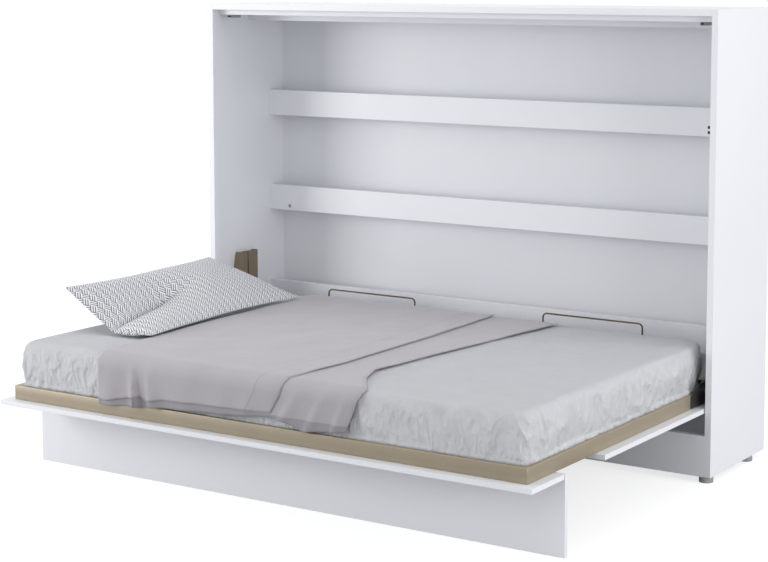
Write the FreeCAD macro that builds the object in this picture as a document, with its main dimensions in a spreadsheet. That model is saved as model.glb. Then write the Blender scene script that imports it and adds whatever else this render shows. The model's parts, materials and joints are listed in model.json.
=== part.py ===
import FreeCAD, Part
import math
import os
import re
import Sketcher

# A sideways cabinet bed: a wide, shallow cabinet whose front board carries a bed that folds down.
# Millimetres. X runs along the cabinet's width, +Y from the foot of the bed to the back of the cabinet
# and +Z up. The origin is the middle of the footprint, on the floor. Modelled with the bed folded down.

# ---------------------------------------------------------------- driving sizes
SIZES = {
    # cabinet carcass
    "cabinet_width": 2110,
    "cabinet_height": 1574,
    "cabinet_depth": 465,
    "board": 22,
    "foot_height": 20,
    "foot_radius": 24,
    "rear_foot_setback": 358,
    "plinth_thickness": 28,
    "plinth_board_height": 139,
    "latch_rail_setback": 42,
    "latch_rail_thickness": 16,
    "latch_rail_height": 20,
    "stiffener_setback": 222,
    "stiffener_height": 45,
    "rail_board": 16,
    "rear_rail_height": 100,
    "rear_rail_setback": 358.5,
    "upper_rail_height": 1126,
    "middle_rail_height": 745,
    "lower_rail_height": 358,
    "back_sheet": 3,
    "back_inset": 12,
    "back_groove": 6,
    "strip_wall": 1,
    "strip_lap": 8,
    "cap_radius": 7,
    "cap_thickness": 1,
    "cap_inset": 99,
    "cap_above_rail": 17,
    # wall brackets
    "bracket_spacing": 1600,
    "bracket_width": 80,
    "bracket_leg": 50,
    "bracket_sheet": 2.5,
    "wall_hole_radius": 4,
    "wall_hole_spacing": 20,
    "wall_hole_drop": 18,
    # push latches and buffers
    "latch_inset": 51,
    "latch_width": 16,
    "latch_body": 12,
    "latch_length": 58,
    "latch_travel": 5,
    "plunger_radius": 4,
    "plunger_length": 26,
    "slide_clearance": 0.1,
    "stop_clearance": 0.3,
    "buffer_radius": 5,
    "buffer_length": 22,
    "buffer_height": 1187,
    "buffer_spacing": 17,
    # bed pivot
    "pivot_setback": 76,
    "pivot_height": 298,
    "pin_radius": 8,
    "bush_wall": 4,
    "bush_flange": 3,
    "bush_flange_thickness": 1.5,
    "running_clearance": 0.05,
    "hinge_sheet": 3,
    "hinge_plate_drop": 118,
    "hinge_plate_width": 232,
    "hinge_plate_over": 27,
    "hinge_plate_front": 46,
    "hinge_plate_shoulder": 60,
    "hinge_plate_neck": 76,
    "hinge_plate_rise": 120,
    "low_screw_spread": 24,
    "screw_edge": 22,
    "high_screw_near": 100,
    "high_screw_far": 164,
    "collar_rim": 6,
    "collar_thickness": 3,
    "screw_radius": 2,
    "screw_head_radius": 5,
    "screw_head": 0.5,
    "screw_length": 15,
    # bed platform and door
    "door_recess": 14,
    "door_board": 16,
    "door_gap": 3,
    "door_side_gap": 4,
    "front_strip_width": 193.5,
    "main_panel_front": 722,
    "main_panel_tail": 130,
    "frame_side_gap": 36,
    "frame_inset": 34,
    "frame_tail": 182,
    "tube_height": 48,
    "tube_width": 40,
    "tube_wall": 2,
    "cross_tube": 30,
    "slat_width": 53,
    "slat_thickness": 8,
    "slat_rise": 5,
    "slats_in_row": 14,
    "holder_depth": 25,
    "holder_pocket": 15,
    "holder_wall": 4,
    "arm_sheet": 4,
    "arm_nose": 114,
    "arm_height": 74,
    "arm_lift": 4,
    "arm_top_front": 40,
    "arm_top_rear": 50,
    "arm_tail_gap": 3,
    "angle_width": 20,
    "angle_leg": 26,
    "angle_height": 24,
    "angle_sheet": 2,
    "stud_radius": 4,
    "stud_rim": 2,
    "stud_head": 1.8,
    "stud_clearance": 0.2,
    # leg
    "leg_setback": 199,
    "leg_board": 16,
    "leg_top_clearance": 2.5,
    "leg_fold_gap": 5,
    "leg_fold_drop": 0.4,
    "leg_edge_round": 6,
    "leg_hinge_inner": 270,
    "leg_hinge_outer": 800,
    "leg_pin_radius": 3,
    "knuckle_wall": 2.5,
    "knuckle_width": 30,
    "knuckle_gap": 2,
    "leg_pin_length": 74,
    "leg_bracket_sheet": 3,
    "leg_bracket_width": 50,
    "leg_bracket_reach": 86,
    # gas springs
    "spring_wall_gap": 14,
    "spring_top_setback": 210,
    "spring_top_height": 565,
    "spring_foot_tail": 130,
    "spring_foot_drop": 16,
    "spring_tube_radius": 10,
    "spring_tube_wall": 1.5,
    "spring_tube_short": 68,
    "spring_neck_step": 4,
    "spring_neck_overlap": 3,
    "spring_cap_wall": 3,
    "spring_rod_radius": 5,
    "spring_rod_short": 25,
    "spring_eye_radius": 9,
    "spring_eye_width": 14,
    "spring_cap": 12,
    "piston_length": 10,
    "cheek_sheet": 2,
    "cheek_gap": 1,
    "cheek_over": 31,
    "cheek_rise": 42,
    "cheek_front": 128,
    "cheek_slope": 56,
    "cheek_slit_front": 167,
    "cheek_slit": 6,
    "cheek_back": 232,
    # mattress stops
    "stop_wire_radius": 3,
    "stop_spread": 476,
    "stop_width": 404,
    "stop_top": 464,
    "stop_corner": 16,
    # bedding
    "cloth_clearance": 0.3,
    "mattress_overhang": 3,
    "mattress_thickness": 152,
    "mattress_side_draw": 12,
    "mattress_edge_round": 45,
    "mattress_front_corner": 35,
    "mattress_rear_corner": 230,
    "mattress_crown_start": 14,
    "mattress_droop_radius": 395,
    "mattress_rear_gap": 8,
    "throw_thickness": 3,
    "throw_left": 632,
    "throw_right": 352,
    "throw_left_flare": 23,
    "throw_right_flare": 52,
    "throw_rear_left": 136,
    "throw_rear_right": 80,
    "throw_hem_height": 300,
    "throw_hem_flare": 14,
    "throw_folds": 6,
    "pillow_front_inner": 383,
    "pillow_front_inner_reach": 878,
    "pillow_rear_inner": 339,
    "pillow_rear_inner_depth": 50,
    "pillow_front_outer": 10,
    "pillow_front_outer_reach": 905,
    "pillow_rear_outer": 1,
    "pillow_rear_outer_reach": 30,
    "pillow_seam_lift": 4,
    "pillow_tilt_rise": 145,
    "pillow_top_bulge": 60,
    "pillow_bottom_bulge": 50,
    "pillow_edge": 5,
}

# ---------------------------------------------------------------- places worked out from the sizes
PLACES = {
    "half_width": "cabinet_width / 2",
    "inner_half": "half_width - board",
    "roof": "cabinet_height - board",
    "door_bottom": "pivot_height - pivot_setback + door_recess",
    "door_top": "door_bottom + door_board",
    "bed_reach": "roof - door_gap - pivot_height - pivot_setback",
    "front": "(bed_reach - cabinet_depth) / 2",
    "back": "front + cabinet_depth",
    "back_sheet_rear": "back - back_inset",
    "back_sheet_front": "back_sheet_rear - back_sheet",
    "pivot_y": "front + pivot_setback",
    "bed_front": "front - bed_reach",
    "door_half": "inner_half - door_side_gap",
    "strip_rear": "bed_front + front_strip_width",
    "panel_front": "front - main_panel_front",
    "panel_rear": "pivot_y + main_panel_tail",
    "frame_half": "inner_half - frame_side_gap",
    "frame_front": "bed_front + frame_inset",
    "frame_rear": "pivot_y + frame_tail",
    "frame_top": "door_top + tube_height",
    "beam_y": "(frame_front + frame_rear) / 2",
    "slat_span": "frame_half - tube_width",
    "slat_pitch": "2 * slat_span / slats_in_row",
    "plinth_top": "foot_height + plinth_board_height",
    "hinge_face": "inner_half - hinge_sheet",
    "arm_face": "frame_half + arm_sheet",
    "bush_radius": "pin_radius + bush_wall",
    "cheek_inner": "arm_face + cheek_gap",
    "cheek_bottom": "pivot_height + cheek_rise",
    "cheek_top": "spring_top_height + cheek_over",
    "hinge_plate_top": "spring_top_height + hinge_plate_over",
    "spring_plane": "hinge_face - spring_wall_gap",
    "spring_top_y": "front + spring_top_setback",
    "spring_foot_y": "pivot_y + spring_foot_tail",
    "spring_foot_z": "pivot_height - spring_foot_drop",
    "spring_run": "spring_foot_y - spring_top_y",
    "spring_drop": "spring_top_height - spring_foot_z",
    "spring_span": "sqrt(spring_run ^ 2 + spring_drop ^ 2)",
    "spring_tube_length": "spring_span - spring_tube_short",
    "spring_rod_length": "spring_span - spring_rod_short",
    "leg_front": "bed_front + leg_setback",
    "leg_top": "door_top - leg_top_clearance",
    "leg_folded_front": "strip_rear + leg_fold_gap",
    "leg_folded_bottom": "door_bottom - leg_fold_drop",
    "leg_pin_y": "(leg_top + leg_folded_front + leg_front - leg_folded_bottom) / 2",
    "leg_pin_z": "(leg_top + leg_folded_front - leg_front + leg_folded_bottom) / 2",
    "knuckle_radius": "leg_pin_radius + knuckle_wall",
    "mattress_half_length": "frame_half + mattress_overhang",
    "mattress_bottom": "frame_top + cloth_clearance",
    "mattress_top": "frame_top + mattress_thickness",
    "mattress_rear": "frame_rear - mattress_rear_gap",
    "latch_x": "inner_half - latch_inset",
    "latch_top": "roof - latch_rail_height",
    "latch_bottom": "latch_top - latch_body",
    "plunger_tip": "front + door_recess + door_board + stop_clearance",
}

SIDES = {"left": -1, "right": 1}

vec = FreeCAD.Vector
doc = FreeCAD.newDocument("CabinetBed")
nodes = []


def fill_sheet(name, cells):
    """Write one named cell to a row, with its name beside it."""
    sheet = doc.addObject("Spreadsheet::Sheet", name)
    for row, (alias, content) in enumerate(cells.items(), start=1):
        sheet.set(f"A{row}", alias)
        sheet.set(f"B{row}", content)
        sheet.setAlias(f"B{row}", alias)
    return sheet


def bind(text):
    """A formula in plain words, with each word turned into its cell."""
    def cell(match):
        word = match.group(0)
        if word in SIZES:
            return "Sizes." + word
        return "Places." + word if word in PLACES else word
    return re.sub(r"[a-z_]+", cell, str(text))


sizes = fill_sheet("Sizes", {alias: str(number) for alias, number in SIZES.items()})
fill_sheet("Places", {alias: "=" + bind(text) for alias, text in PLACES.items()})
doc.recompute()


def value(text):
    """The number that a formula in plain words gives."""
    return float(sizes.evalExpression(bind(text)))


# ---------------------------------------------------------------- building blocks
def node(item):
    """Count an object as one of the assembly's own pieces, named by its label."""
    nodes.append(item)
    return item


def place(item, at):
    """Bind an object's place to three formulas."""
    for axis, text in zip("xyz", at):
        item.setExpression("Placement.Base." + axis, bind(text))
    return item


def across(side, inner, outer):
    """The span in X between two distances from the middle, on one side."""
    return (inner, outer) if side > 0 else (f"-({outer})", f"-({inner})")


def box(label, x, y, z):
    """A block that spans x, y and z, each a pair of formulas."""
    item = doc.addObject("Part::Box", label)
    for size, (low, high) in zip(("Length", "Width", "Height"), (x, y, z)):
        item.setExpression(size, bind(f"({high}) - ({low})"))
    return place(item, (x[0], y[0], z[0]))


TURNS = {
    "x": FreeCAD.Rotation(vec(0, 0, 1), vec(1, 0, 0)),
    "y": FreeCAD.Rotation(vec(0, 0, 1), vec(0, 1, 0)),
    "z": FreeCAD.Rotation(),
}


def cylinder(label, radius, length, start, along):
    """A round bar of a radius and length, from its start along +x, +y or +z."""
    item = doc.addObject("Part::Cylinder", label)
    item.setExpression("Radius", bind(radius))
    item.setExpression("Height", bind(length))
    item.Placement.Rotation = TURNS[along]
    return place(item, start)


def crossbar(label, radius, side, inner, outer, y, z):
    """A round bar along X between two distances from the middle."""
    low = across(side, inner, outer)[0]
    return cylinder(label, radius, f"({outer}) - ({inner})", (low, y, z), "x")


def fuse(label, pieces):
    item = doc.addObject("Part::MultiFuse", label)
    item.Shapes = pieces
    return item


def cut(label, base, tools):
    item = doc.addObject("Part::Cut", label)
    item.Base = base
    item.Tool = tools[0] if len(tools) == 1 else fuse(label + "_tools", tools)
    return item


def group(label, pieces):
    """Like pieces that share one node and stay separate solids."""
    item = doc.addObject("Part::Compound", label)
    item.Links = pieces
    return item


def body(label, at):
    return place(doc.addObject("PartDesign::Body", label), at)


def sketch(item, name, role):
    """A sketch on one of the body's own origin planes."""
    plane = [entry for entry in item.Origin.OriginFeatures if entry.Role == role][0]
    drawing = item.newObject("Sketcher::SketchObject", item.Name + "_" + name)
    drawing.AttachmentSupport = [(plane, "")]
    drawing.MapMode = "FlatFace"
    return drawing


def pin_point(drawing, geometry, point, a, b):
    """Hold one point of a sketch by its two distances from the sketch's origin."""
    for kind, text in (("DistanceX", a), ("DistanceY", b)):
        rule = Sketcher.Constraint(kind, -1, 1, geometry, point, value(text))
        index = drawing.addConstraint(rule)
        drawing.setExpression(f"Constraints[{index}]", bind(text))


def polygon(drawing, corners):
    """A closed outline whose corners are pairs of formulas."""
    points = [vec(value(a), value(b), 0) for a, b in corners]
    first = drawing.GeometryCount
    count = len(points)
    for index in range(count):
        line = Part.LineSegment(points[index], points[(index + 1) % count])
        drawing.addGeometry(line, False)
    for index in range(count):
        after = first + (index + 1) % count
        drawing.addConstraint(Sketcher.Constraint("Coincident", first + index, 2, after, 1))
    for index, (a, b) in enumerate(corners):
        pin_point(drawing, first + index, 1, a, b)


def circle(drawing, a, b, radius):
    ring = Part.Circle(vec(value(a), value(b), 0), vec(0, 0, 1), value(radius))
    geometry = drawing.addGeometry(ring, False)
    pin_point(drawing, geometry, 3, a, b)
    index = drawing.addConstraint(Sketcher.Constraint("Radius", geometry, value(radius)))
    drawing.setExpression(f"Constraints[{index}]", bind(radius))


def pad(item, drawing, length, reverse=False, symmetric=False):
    feature = item.newObject("PartDesign::Pad", drawing.Name + "_pad")
    feature.Profile = drawing
    feature.setExpression("Length", bind(length))
    feature.Reversed = reverse
    feature.Midplane = symmetric
    return feature


def pocket(item, drawing, length, reverse=False, symmetric=False):
    """A pocket that has to take material away."""
    doc.recompute()
    before = item.Shape.Volume
    feature = item.newObject("PartDesign::Pocket", drawing.Name + "_pocket")
    feature.Profile = drawing
    feature.setExpression("Length", bind(length))
    feature.Reversed = reverse
    feature.Midplane = symmetric
    doc.recompute()
    if not item.Shape.Volume < before:
        raise RuntimeError(drawing.Name + " cuts nothing")
    return feature


def solid(label, shape):
    """A piece whose form comes from a formula."""
    item = doc.addObject("Part::Feature", label)
    item.Shape = shape
    item.Placement = FreeCAD.Placement()
    return item


def rectangular_tube(label, x, y, z, along):
    """A steel tube, open at both ends, that spans x, y and z and runs along x or y."""
    spans = {"x": x, "y": y, "z": z}
    inner = {}
    for axis, (low, high) in spans.items():
        if axis == along:
            inner[axis] = (low, high)
        else:
            inner[axis] = (f"({low}) + tube_wall", f"({high}) - tube_wall")
    outside = box(label + "_outside", x, y, z)
    inside = box(label + "_inside", inner["x"], inner["y"], inner["z"])
    return cut(label, outside, [inside])


# ---------------------------------------------------------------- cabinet
def hinge_screw_places():
    """Where the hinge plate is screwed to the side, from the cabinet's front and the floor."""
    low = "pivot_height - hinge_plate_drop + screw_edge"
    high = "hinge_plate_top - screw_edge"
    return [
        ("pivot_setback - low_screw_spread", low),
        ("pivot_setback + low_screw_spread", low),
        ("pivot_setback + high_screw_near", high),
        ("pivot_setback + high_screw_far", high),
    ]


def side_panel(name, side):
    """A full-height side with the back's groove and the hinge plate's screw holes on its inner face."""
    panel = body(name + "_side_panel", (f"{side} * inner_half", "front", "foot_height"))
    tall = "cabinet_height - foot_height"
    outline = sketch(panel, "outline", "YZ_Plane")
    polygon(outline, [("0", "0"), ("cabinet_depth", "0"), ("cabinet_depth", tall), ("0", tall)])
    pad(panel, outline, "board", reverse=side < 0)
    near = "cabinet_depth - back_inset - back_sheet"
    far = "cabinet_depth - back_inset"
    groove = sketch(panel, "groove", "YZ_Plane")
    polygon(groove, [(near, "0"), (far, "0"), (far, tall), (near, tall)])
    pocket(panel, groove, "back_groove", reverse=side > 0)
    holes = sketch(panel, "screw_holes", "YZ_Plane")
    for y, z in hinge_screw_places():
        circle(holes, y, f"{z} - foot_height", "screw_radius")
    pocket(panel, holes, "screw_length - hinge_sheet", reverse=side > 0)
    return node(panel)


def cabinet_boards():
    inside = ("-inner_half", "inner_half")
    node(box("top_panel", inside, ("front", "back"), ("roof", "cabinet_height")))
    rail_front = "front + latch_rail_setback"
    rail_rear = f"{rail_front} + latch_rail_thickness"
    node(box("latch_rail", inside, (rail_front, rail_rear), ("latch_top", "roof")))
    stiff_front = "front + stiffener_setback"
    stiff_rear = f"{stiff_front} + rail_board"
    stiff = ("roof - stiffener_height", "roof")
    node(box("top_stiffener_rail", inside, (stiff_front, stiff_rear), stiff))
    plinth = ("front", "front + plinth_thickness")
    node(box("plinth_board", inside, plinth, ("foot_height", "plinth_top")))
    rear = ("front + rear_rail_setback", "front + rear_rail_setback + rail_board")
    for level in ("upper", "middle", "lower"):
        low = f"{level}_rail_height"
        node(box(f"{level}_rear_rail", inside, rear, (low, f"{low} + rear_rail_height")))


def cam_caps():
    """Cover caps over the fittings at the ends of the middle rear rail."""
    caps = []
    for name, side in SIDES.items():
        start = (
            f"{side} * (inner_half - cap_inset)",
            "front + rear_rail_setback - cap_thickness",
            "middle_rail_height + cap_above_rail",
        )
        caps.append(cylinder(name + "_cap", "cap_radius", "cap_thickness", start, "y"))
    node(group("cam_caps", caps))


def back_joint(level):
    """The height at which two back sheets meet, behind the middle of a rail."""
    return f"{level}_rail_height + rear_rail_height / 2"


def back_panels():
    """Three hardboard sheets in the sides' grooves, joined behind the rails by H strips."""
    grooved = ("-inner_half - back_groove", "inner_half + back_groove")
    sheet = ("back_sheet_front", "back_sheet_rear")
    upper = back_joint("upper")
    middle = back_joint("middle")
    lower_span = ("foot_height", f"{middle} - strip_wall / 2")
    middle_span = (f"{middle} + strip_wall / 2", f"{upper} - strip_wall / 2")
    node(box("back_panel_lower", grooved, sheet, lower_span))
    node(box("back_panel_middle", grooved, sheet, middle_span))
    whole = box("back_panel_upper_sheet", grooved, sheet, (f"{upper} + strip_wall / 2", "roof"))
    holes = wall_hole_cylinders("back_hole", "back_sheet_front - 1", "back_sheet + 2")
    node(cut("back_panel_upper", whole, holes))
    strips = []
    wide = ("-inner_half", "inner_half")
    for name, middle_of in (("upper", upper), ("middle", middle)):
        web = (f"{middle_of} - strip_wall / 2", f"{middle_of} + strip_wall / 2")
        flange = (f"{middle_of} - strip_lap", f"{middle_of} + strip_lap")
        front_flange = ("back_sheet_front - strip_wall", "back_sheet_front")
        rear_flange = ("back_sheet_rear", "back_sheet_rear + strip_wall")
        parts = [
            box(name + "_strip_web", wide, sheet, web),
            box(name + "_strip_front", wide, front_flange, flange),
            box(name + "_strip_rear", wide, rear_flange, flange),
        ]
        strips.append(fuse(name + "_strip", parts))
    node(group("back_joint_strips", strips))


def wall_hole_cylinders(label, start, length):
    """The four wall holes, two through each bracket, one above the other."""
    holes = []
    for name, side in SIDES.items():
        for row in (0, 1):
            height = f"roof - wall_hole_drop - {row} * wall_hole_spacing"
            at = (f"{side} * bracket_spacing / 2", start, height)
            holes.append(cylinder(f"{label}_{name}_{row}", "wall_hole_radius", length, at, "y"))
    return holes


def wall_brackets():
    """Two steel angles under the top, bolted to the wall through the back."""
    angles = []
    for name, side in SIDES.items():
        middle = f"{side} * bracket_spacing / 2"
        x = (f"{middle} - bracket_width / 2", f"{middle} + bracket_width / 2")
        upright_y = ("back_sheet_front - bracket_sheet", "back_sheet_front")
        flat_y = ("back_sheet_front - bracket_leg", "back_sheet_front")
        upright = box(name + "_upright", x, upright_y, ("roof - bracket_leg", "roof"))
        flat = box(name + "_flat", x, flat_y, ("roof - bracket_sheet", "roof"))
        angles.append(fuse(name + "_angle", [upright, flat]))
    both = fuse("wall_bracket_pair", angles)
    start = "back_sheet_front - bracket_sheet - 1"
    node(cut("wall_brackets", both, wall_hole_cylinders("bracket_hole", start, "bracket_sheet + 2")))


def feet():
    """Four low glides under the sides."""
    glides = []
    for name, side in SIDES.items():
        x = f"{side} * (half_width - foot_radius)"
        for row, y in (("front", "front + foot_radius"), ("rear", "front + rear_foot_setback")):
            glides.append(cylinder(f"{name}_{row}_foot", "foot_radius", "foot_height", (x, y, "0"), "z"))
    node(group("feet", glides))


def latches():
    """Push latches under the latch rail: a housing with a sprung plunger that meets the door."""
    body_front = "front + latch_rail_setback"
    for name, side in SIDES.items():
        x = (f"{side} * latch_x - latch_width / 2", f"{side} * latch_x + latch_width / 2")
        y = (body_front, f"{body_front} + latch_length")
        housing = box(name + "_latch_block", x, y, ("latch_bottom", "latch_top"))
        height = "(latch_bottom + latch_top) / 2"
        tip = (f"{side} * latch_x", "plunger_tip", height)
        plunger = cylinder(name + "_latch_plunger", "plunger_radius", "plunger_length", tip, "y")
        bore_depth = "plunger_length + latch_travel + 1"
        bore = cylinder(name + "_latch_bore", "plunger_radius + slide_clearance", bore_depth, tip, "y")
        node(cut(name + "_latch_housing", housing, [bore]))
        node(plunger)


def door_buffers():
    """Two rubber buffers on the right side that the door closes against."""
    buffers = []
    y = "front + door_recess + door_board + stop_clearance + buffer_radius"
    for row in (0, 1):
        z = f"buffer_height - {row} * buffer_spacing"
        inner = "inner_half - buffer_length"
        buffers.append(crossbar(f"buffer_{row}", "buffer_radius", 1, inner, "inner_half", y, z))
    node(group("door_buffers", buffers))


# ---------------------------------------------------------------- bed hinge, on the cabinet's sides
def hinge_plate(name, side):
    """The steel plate on the side's inner face that carries the pivot pin and the spring's stud."""
    plate = body(name + "_hinge_plate", (f"{side} * hinge_face", "front", "0"))
    low = "pivot_height - hinge_plate_drop"
    near = "pivot_setback - hinge_plate_front"
    far = f"{near} + hinge_plate_width"
    outline = sketch(plate, "outline", "YZ_Plane")
    corners = [
        (near, low),
        ("pivot_setback + hinge_plate_front", low),
        (far, "pivot_height + hinge_plate_rise"),
        (far, "hinge_plate_top"),
        ("pivot_setback + hinge_plate_neck", "hinge_plate_top"),
        (near, "pivot_height + hinge_plate_shoulder"),
    ]
    polygon(outline, corners)
    pad(plate, outline, "hinge_sheet", reverse=side < 0)
    holes = sketch(plate, "screw_holes", "YZ_Plane")
    for y, z in hinge_screw_places():
        circle(holes, y, z, "screw_radius")
    pocket(plate, holes, "hinge_sheet", reverse=side > 0)
    return node(plate)


def hinge_screws():
    """Pan-head screws through the hinge plates into the sides."""
    screws = []
    for name, side in SIDES.items():
        for row, (y, z) in enumerate(hinge_screw_places()):
            at = (f"front + {y}", z)
            label = f"{name}_screw_{row}"
            inner = "hinge_face - screw_head"
            head = crossbar(label + "_head", "screw_head_radius", side, inner, "hinge_face", *at)
            end = "hinge_face + screw_length"
            shank = crossbar(label + "_shank", "screw_radius", side, "hinge_face", end, *at)
            screws.append(fuse(label, [head, shank]))
    node(group("hinge_plate_screws", screws))


def pivot_pins():
    """Two stub pins welded to the hinge plates, which the bed turns on."""
    pins = []
    for name, side in SIDES.items():
        at = ("pivot_y", "pivot_height")
        inner = "frame_half + cloth_clearance"
        bar = crossbar(name + "_pin_bar", "pin_radius", side, inner, "hinge_face", *at)
        rim = "pin_radius + collar_rim"
        collar_face = "hinge_face - collar_thickness"
        collar = crossbar(name + "_collar", rim, side, collar_face, "hinge_face", *at)
        pins.append(fuse(name + "_pin", [bar, collar]))
    node(group("pivot_pins", pins))


def spring_upper_studs():
    """The headed studs on the hinge plates that the gas springs hang from."""
    studs = []
    eye_face = "spring_plane - spring_eye_width / 2 - stud_clearance"
    for name, side in SIDES.items():
        at = ("spring_top_y", "spring_top_height")
        shaft = crossbar(name + "_stud_shaft", "stud_radius", side, eye_face, "hinge_face", *at)
        head_face = f"{eye_face} - stud_head"
        head = crossbar(name + "_stud_head", "stud_radius + stud_rim", side, head_face, eye_face, *at)
        studs.append(fuse(name + "_stud", [shaft, head]))
    node(group("spring_upper_studs", studs))


def folded_cheek(label, side, outline, flange):
    """A sheet cheek beside the spring, with a flange bent back to the hinge plate."""
    cheek = body(label, (f"{side} * cheek_inner", "front", "0"))
    face = sketch(cheek, "face", "YZ_Plane")
    polygon(face, outline)
    pad(cheek, face, "cheek_sheet", reverse=side < 0)
    edge = sketch(cheek, "flange", "YZ_Plane")
    polygon(edge, flange)
    pad(cheek, edge, "hinge_face - cheek_inner", reverse=side < 0)
    return node(cheek)


def spring_guards(name, side):
    """The front bracket and the rear cover that box in the top of the spring, with a slit between."""
    low_front = "cheek_front - cheek_slope"
    bracket = [
        (low_front, "cheek_bottom"),
        ("cheek_slit_front", "cheek_bottom"),
        ("cheek_slit_front", "cheek_top"),
        ("cheek_front", "cheek_top"),
    ]
    front_flange = [
        (low_front, "cheek_bottom"),
        (f"{low_front} + cheek_sheet", "cheek_bottom"),
        ("cheek_front + cheek_sheet", "cheek_top"),
        ("cheek_front", "cheek_top"),
    ]
    folded_cheek(name + "_spring_bracket", side, bracket, front_flange)
    slit_rear = "cheek_slit_front + cheek_slit"
    cover = [
        (slit_rear, "cheek_bottom"),
        ("cheek_back", "cheek_bottom"),
        ("cheek_back", "cheek_top"),
        (slit_rear, "cheek_top"),
    ]
    rear_flange = [
        ("cheek_back - cheek_sheet", "cheek_bottom"),
        ("cheek_back", "cheek_bottom"),
        ("cheek_back", "cheek_top"),
        ("cheek_back - cheek_sheet", "cheek_top"),
    ]
    folded_cheek(name + "_spring_cover", side, cover, rear_flange)


# ---------------------------------------------------------------- gas springs
SPRING_TILT = "atan(spring_run / spring_drop)"


def hang_spring(item, side):
    """Turn a piece drawn hanging straight down from the upper stud to the spring's tilt at rest."""
    item.Placement.Rotation = FreeCAD.Rotation(vec(1, 0, 0), value(SPRING_TILT))
    item.setExpression("Placement.Rotation.Angle", bind(SPRING_TILT))
    return place(item, (f"{side} * spring_plane", "spring_top_y", "spring_top_height"))


def spring_bar(label, radius, start, length):
    """A round bar that hangs below the upper stud, from a distance below it."""
    return cylinder(label, radius, length, ("0", "0", f"-({start}) - ({length})"), "z")


def spring_eye(label, drop, radius):
    return cylinder(label, radius, "spring_eye_width", ("-spring_eye_width / 2", "0", f"-({drop})"), "x")


def gas_spring(name, side):
    tube = name + "_spring_tube"
    neck_top = "spring_eye_radius - spring_neck_overlap"
    neck_radius = "spring_tube_radius - spring_neck_step"
    outside = [
        spring_bar(tube + "_barrel", "spring_tube_radius", "spring_cap", "spring_tube_length - spring_cap"),
        spring_bar(tube + "_neck", neck_radius, neck_top, f"spring_cap - ({neck_top})"),
        spring_eye(tube + "_eye", "0", "spring_eye_radius"),
    ]
    bore_start = "spring_cap + spring_cap_wall"
    bore_length = f"spring_tube_length - spring_cap - ({bore_start})"
    bore_radius = "spring_tube_radius - spring_tube_wall"
    guide_radius = "spring_rod_radius + running_clearance"
    inside = [
        spring_bar(tube + "_bore", bore_radius, bore_start, bore_length),
        spring_bar(tube + "_guide", guide_radius, bore_start, "spring_tube_length"),
        spring_eye(tube + "_eye_bore", "0", "stud_radius + running_clearance"),
    ]
    whole = fuse(tube + "_whole", outside)
    node(hang_spring(cut(tube, whole, inside), side))

    rod = name + "_spring_rod"
    rod_start = "spring_span - spring_rod_length"
    outside = [
        spring_bar(rod + "_bar", "spring_rod_radius", rod_start, "spring_rod_length"),
        spring_bar(rod + "_piston", f"{bore_radius} - running_clearance", rod_start, "piston_length"),
        spring_eye(rod + "_eye", "spring_span", "spring_eye_radius"),
    ]
    whole = fuse(rod + "_whole", outside)
    eye_bore = spring_eye(rod + "_eye_bore", "spring_span", "stud_radius + running_clearance")
    node(hang_spring(cut(rod, whole, [eye_bore]), side))


# ---------------------------------------------------------------- bed platform
def door_boards():
    """The front board in two fixed pieces; the leg fills the gap between them when it folds."""
    wide = ("-door_half", "door_half")
    thick = ("door_bottom", "door_top")
    node(box("door_front_strip", wide, ("bed_front", "strip_rear"), thick))
    node(box("door_main_panel", wide, ("panel_front", "panel_rear"), thick))


def frame_tubes():
    wide = ("-frame_half", "frame_half")
    tall = ("door_top", "frame_top")
    inner_front = "frame_front + tube_width"
    inner_rear = "frame_rear - tube_width"
    node(rectangular_tube("frame_front_tube", wide, ("frame_front", inner_front), tall, "x"))
    node(rectangular_tube("frame_rear_tube", wide, (inner_rear, "frame_rear"), tall, "x"))
    for name, side in SIDES.items():
        x = across(side, "frame_half - tube_width", "frame_half")
        node(rectangular_tube(f"frame_{name}_tube", x, (inner_front, inner_rear), tall, "y"))
    between = ("-slat_span", "slat_span")
    beam = ("beam_y - tube_width / 2", "beam_y + tube_width / 2")
    node(rectangular_tube("frame_centre_beam", between, beam, tall, "x"))
    crosses = []
    low = ("door_top", "door_top + cross_tube")
    for row, (start, end) in slat_rows().items():
        for count in (-3, 0, 3):
            middle = f"{count} * slat_pitch"
            x = (f"{middle} - cross_tube / 2", f"{middle} + cross_tube / 2")
            label = f"{row}_cross_tube_{count + 3}"
            crosses.append(rectangular_tube(label, x, (start, end), low, "y"))
    node(group("frame_cross_tubes", crosses))


def slat_rows():
    """The two rows of slats, each between the centre beam and an end tube."""
    return {
        "front": ("frame_front + tube_width", "beam_y - tube_width / 2"),
        "rear": ("beam_y + tube_width / 2", "frame_rear - tube_width"),
    }


def slat_middles():
    count = int(value("slats_in_row"))
    pitch = value("slat_pitch")
    return [(index - (count - 1) / 2) * pitch for index in range(count)]


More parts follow.
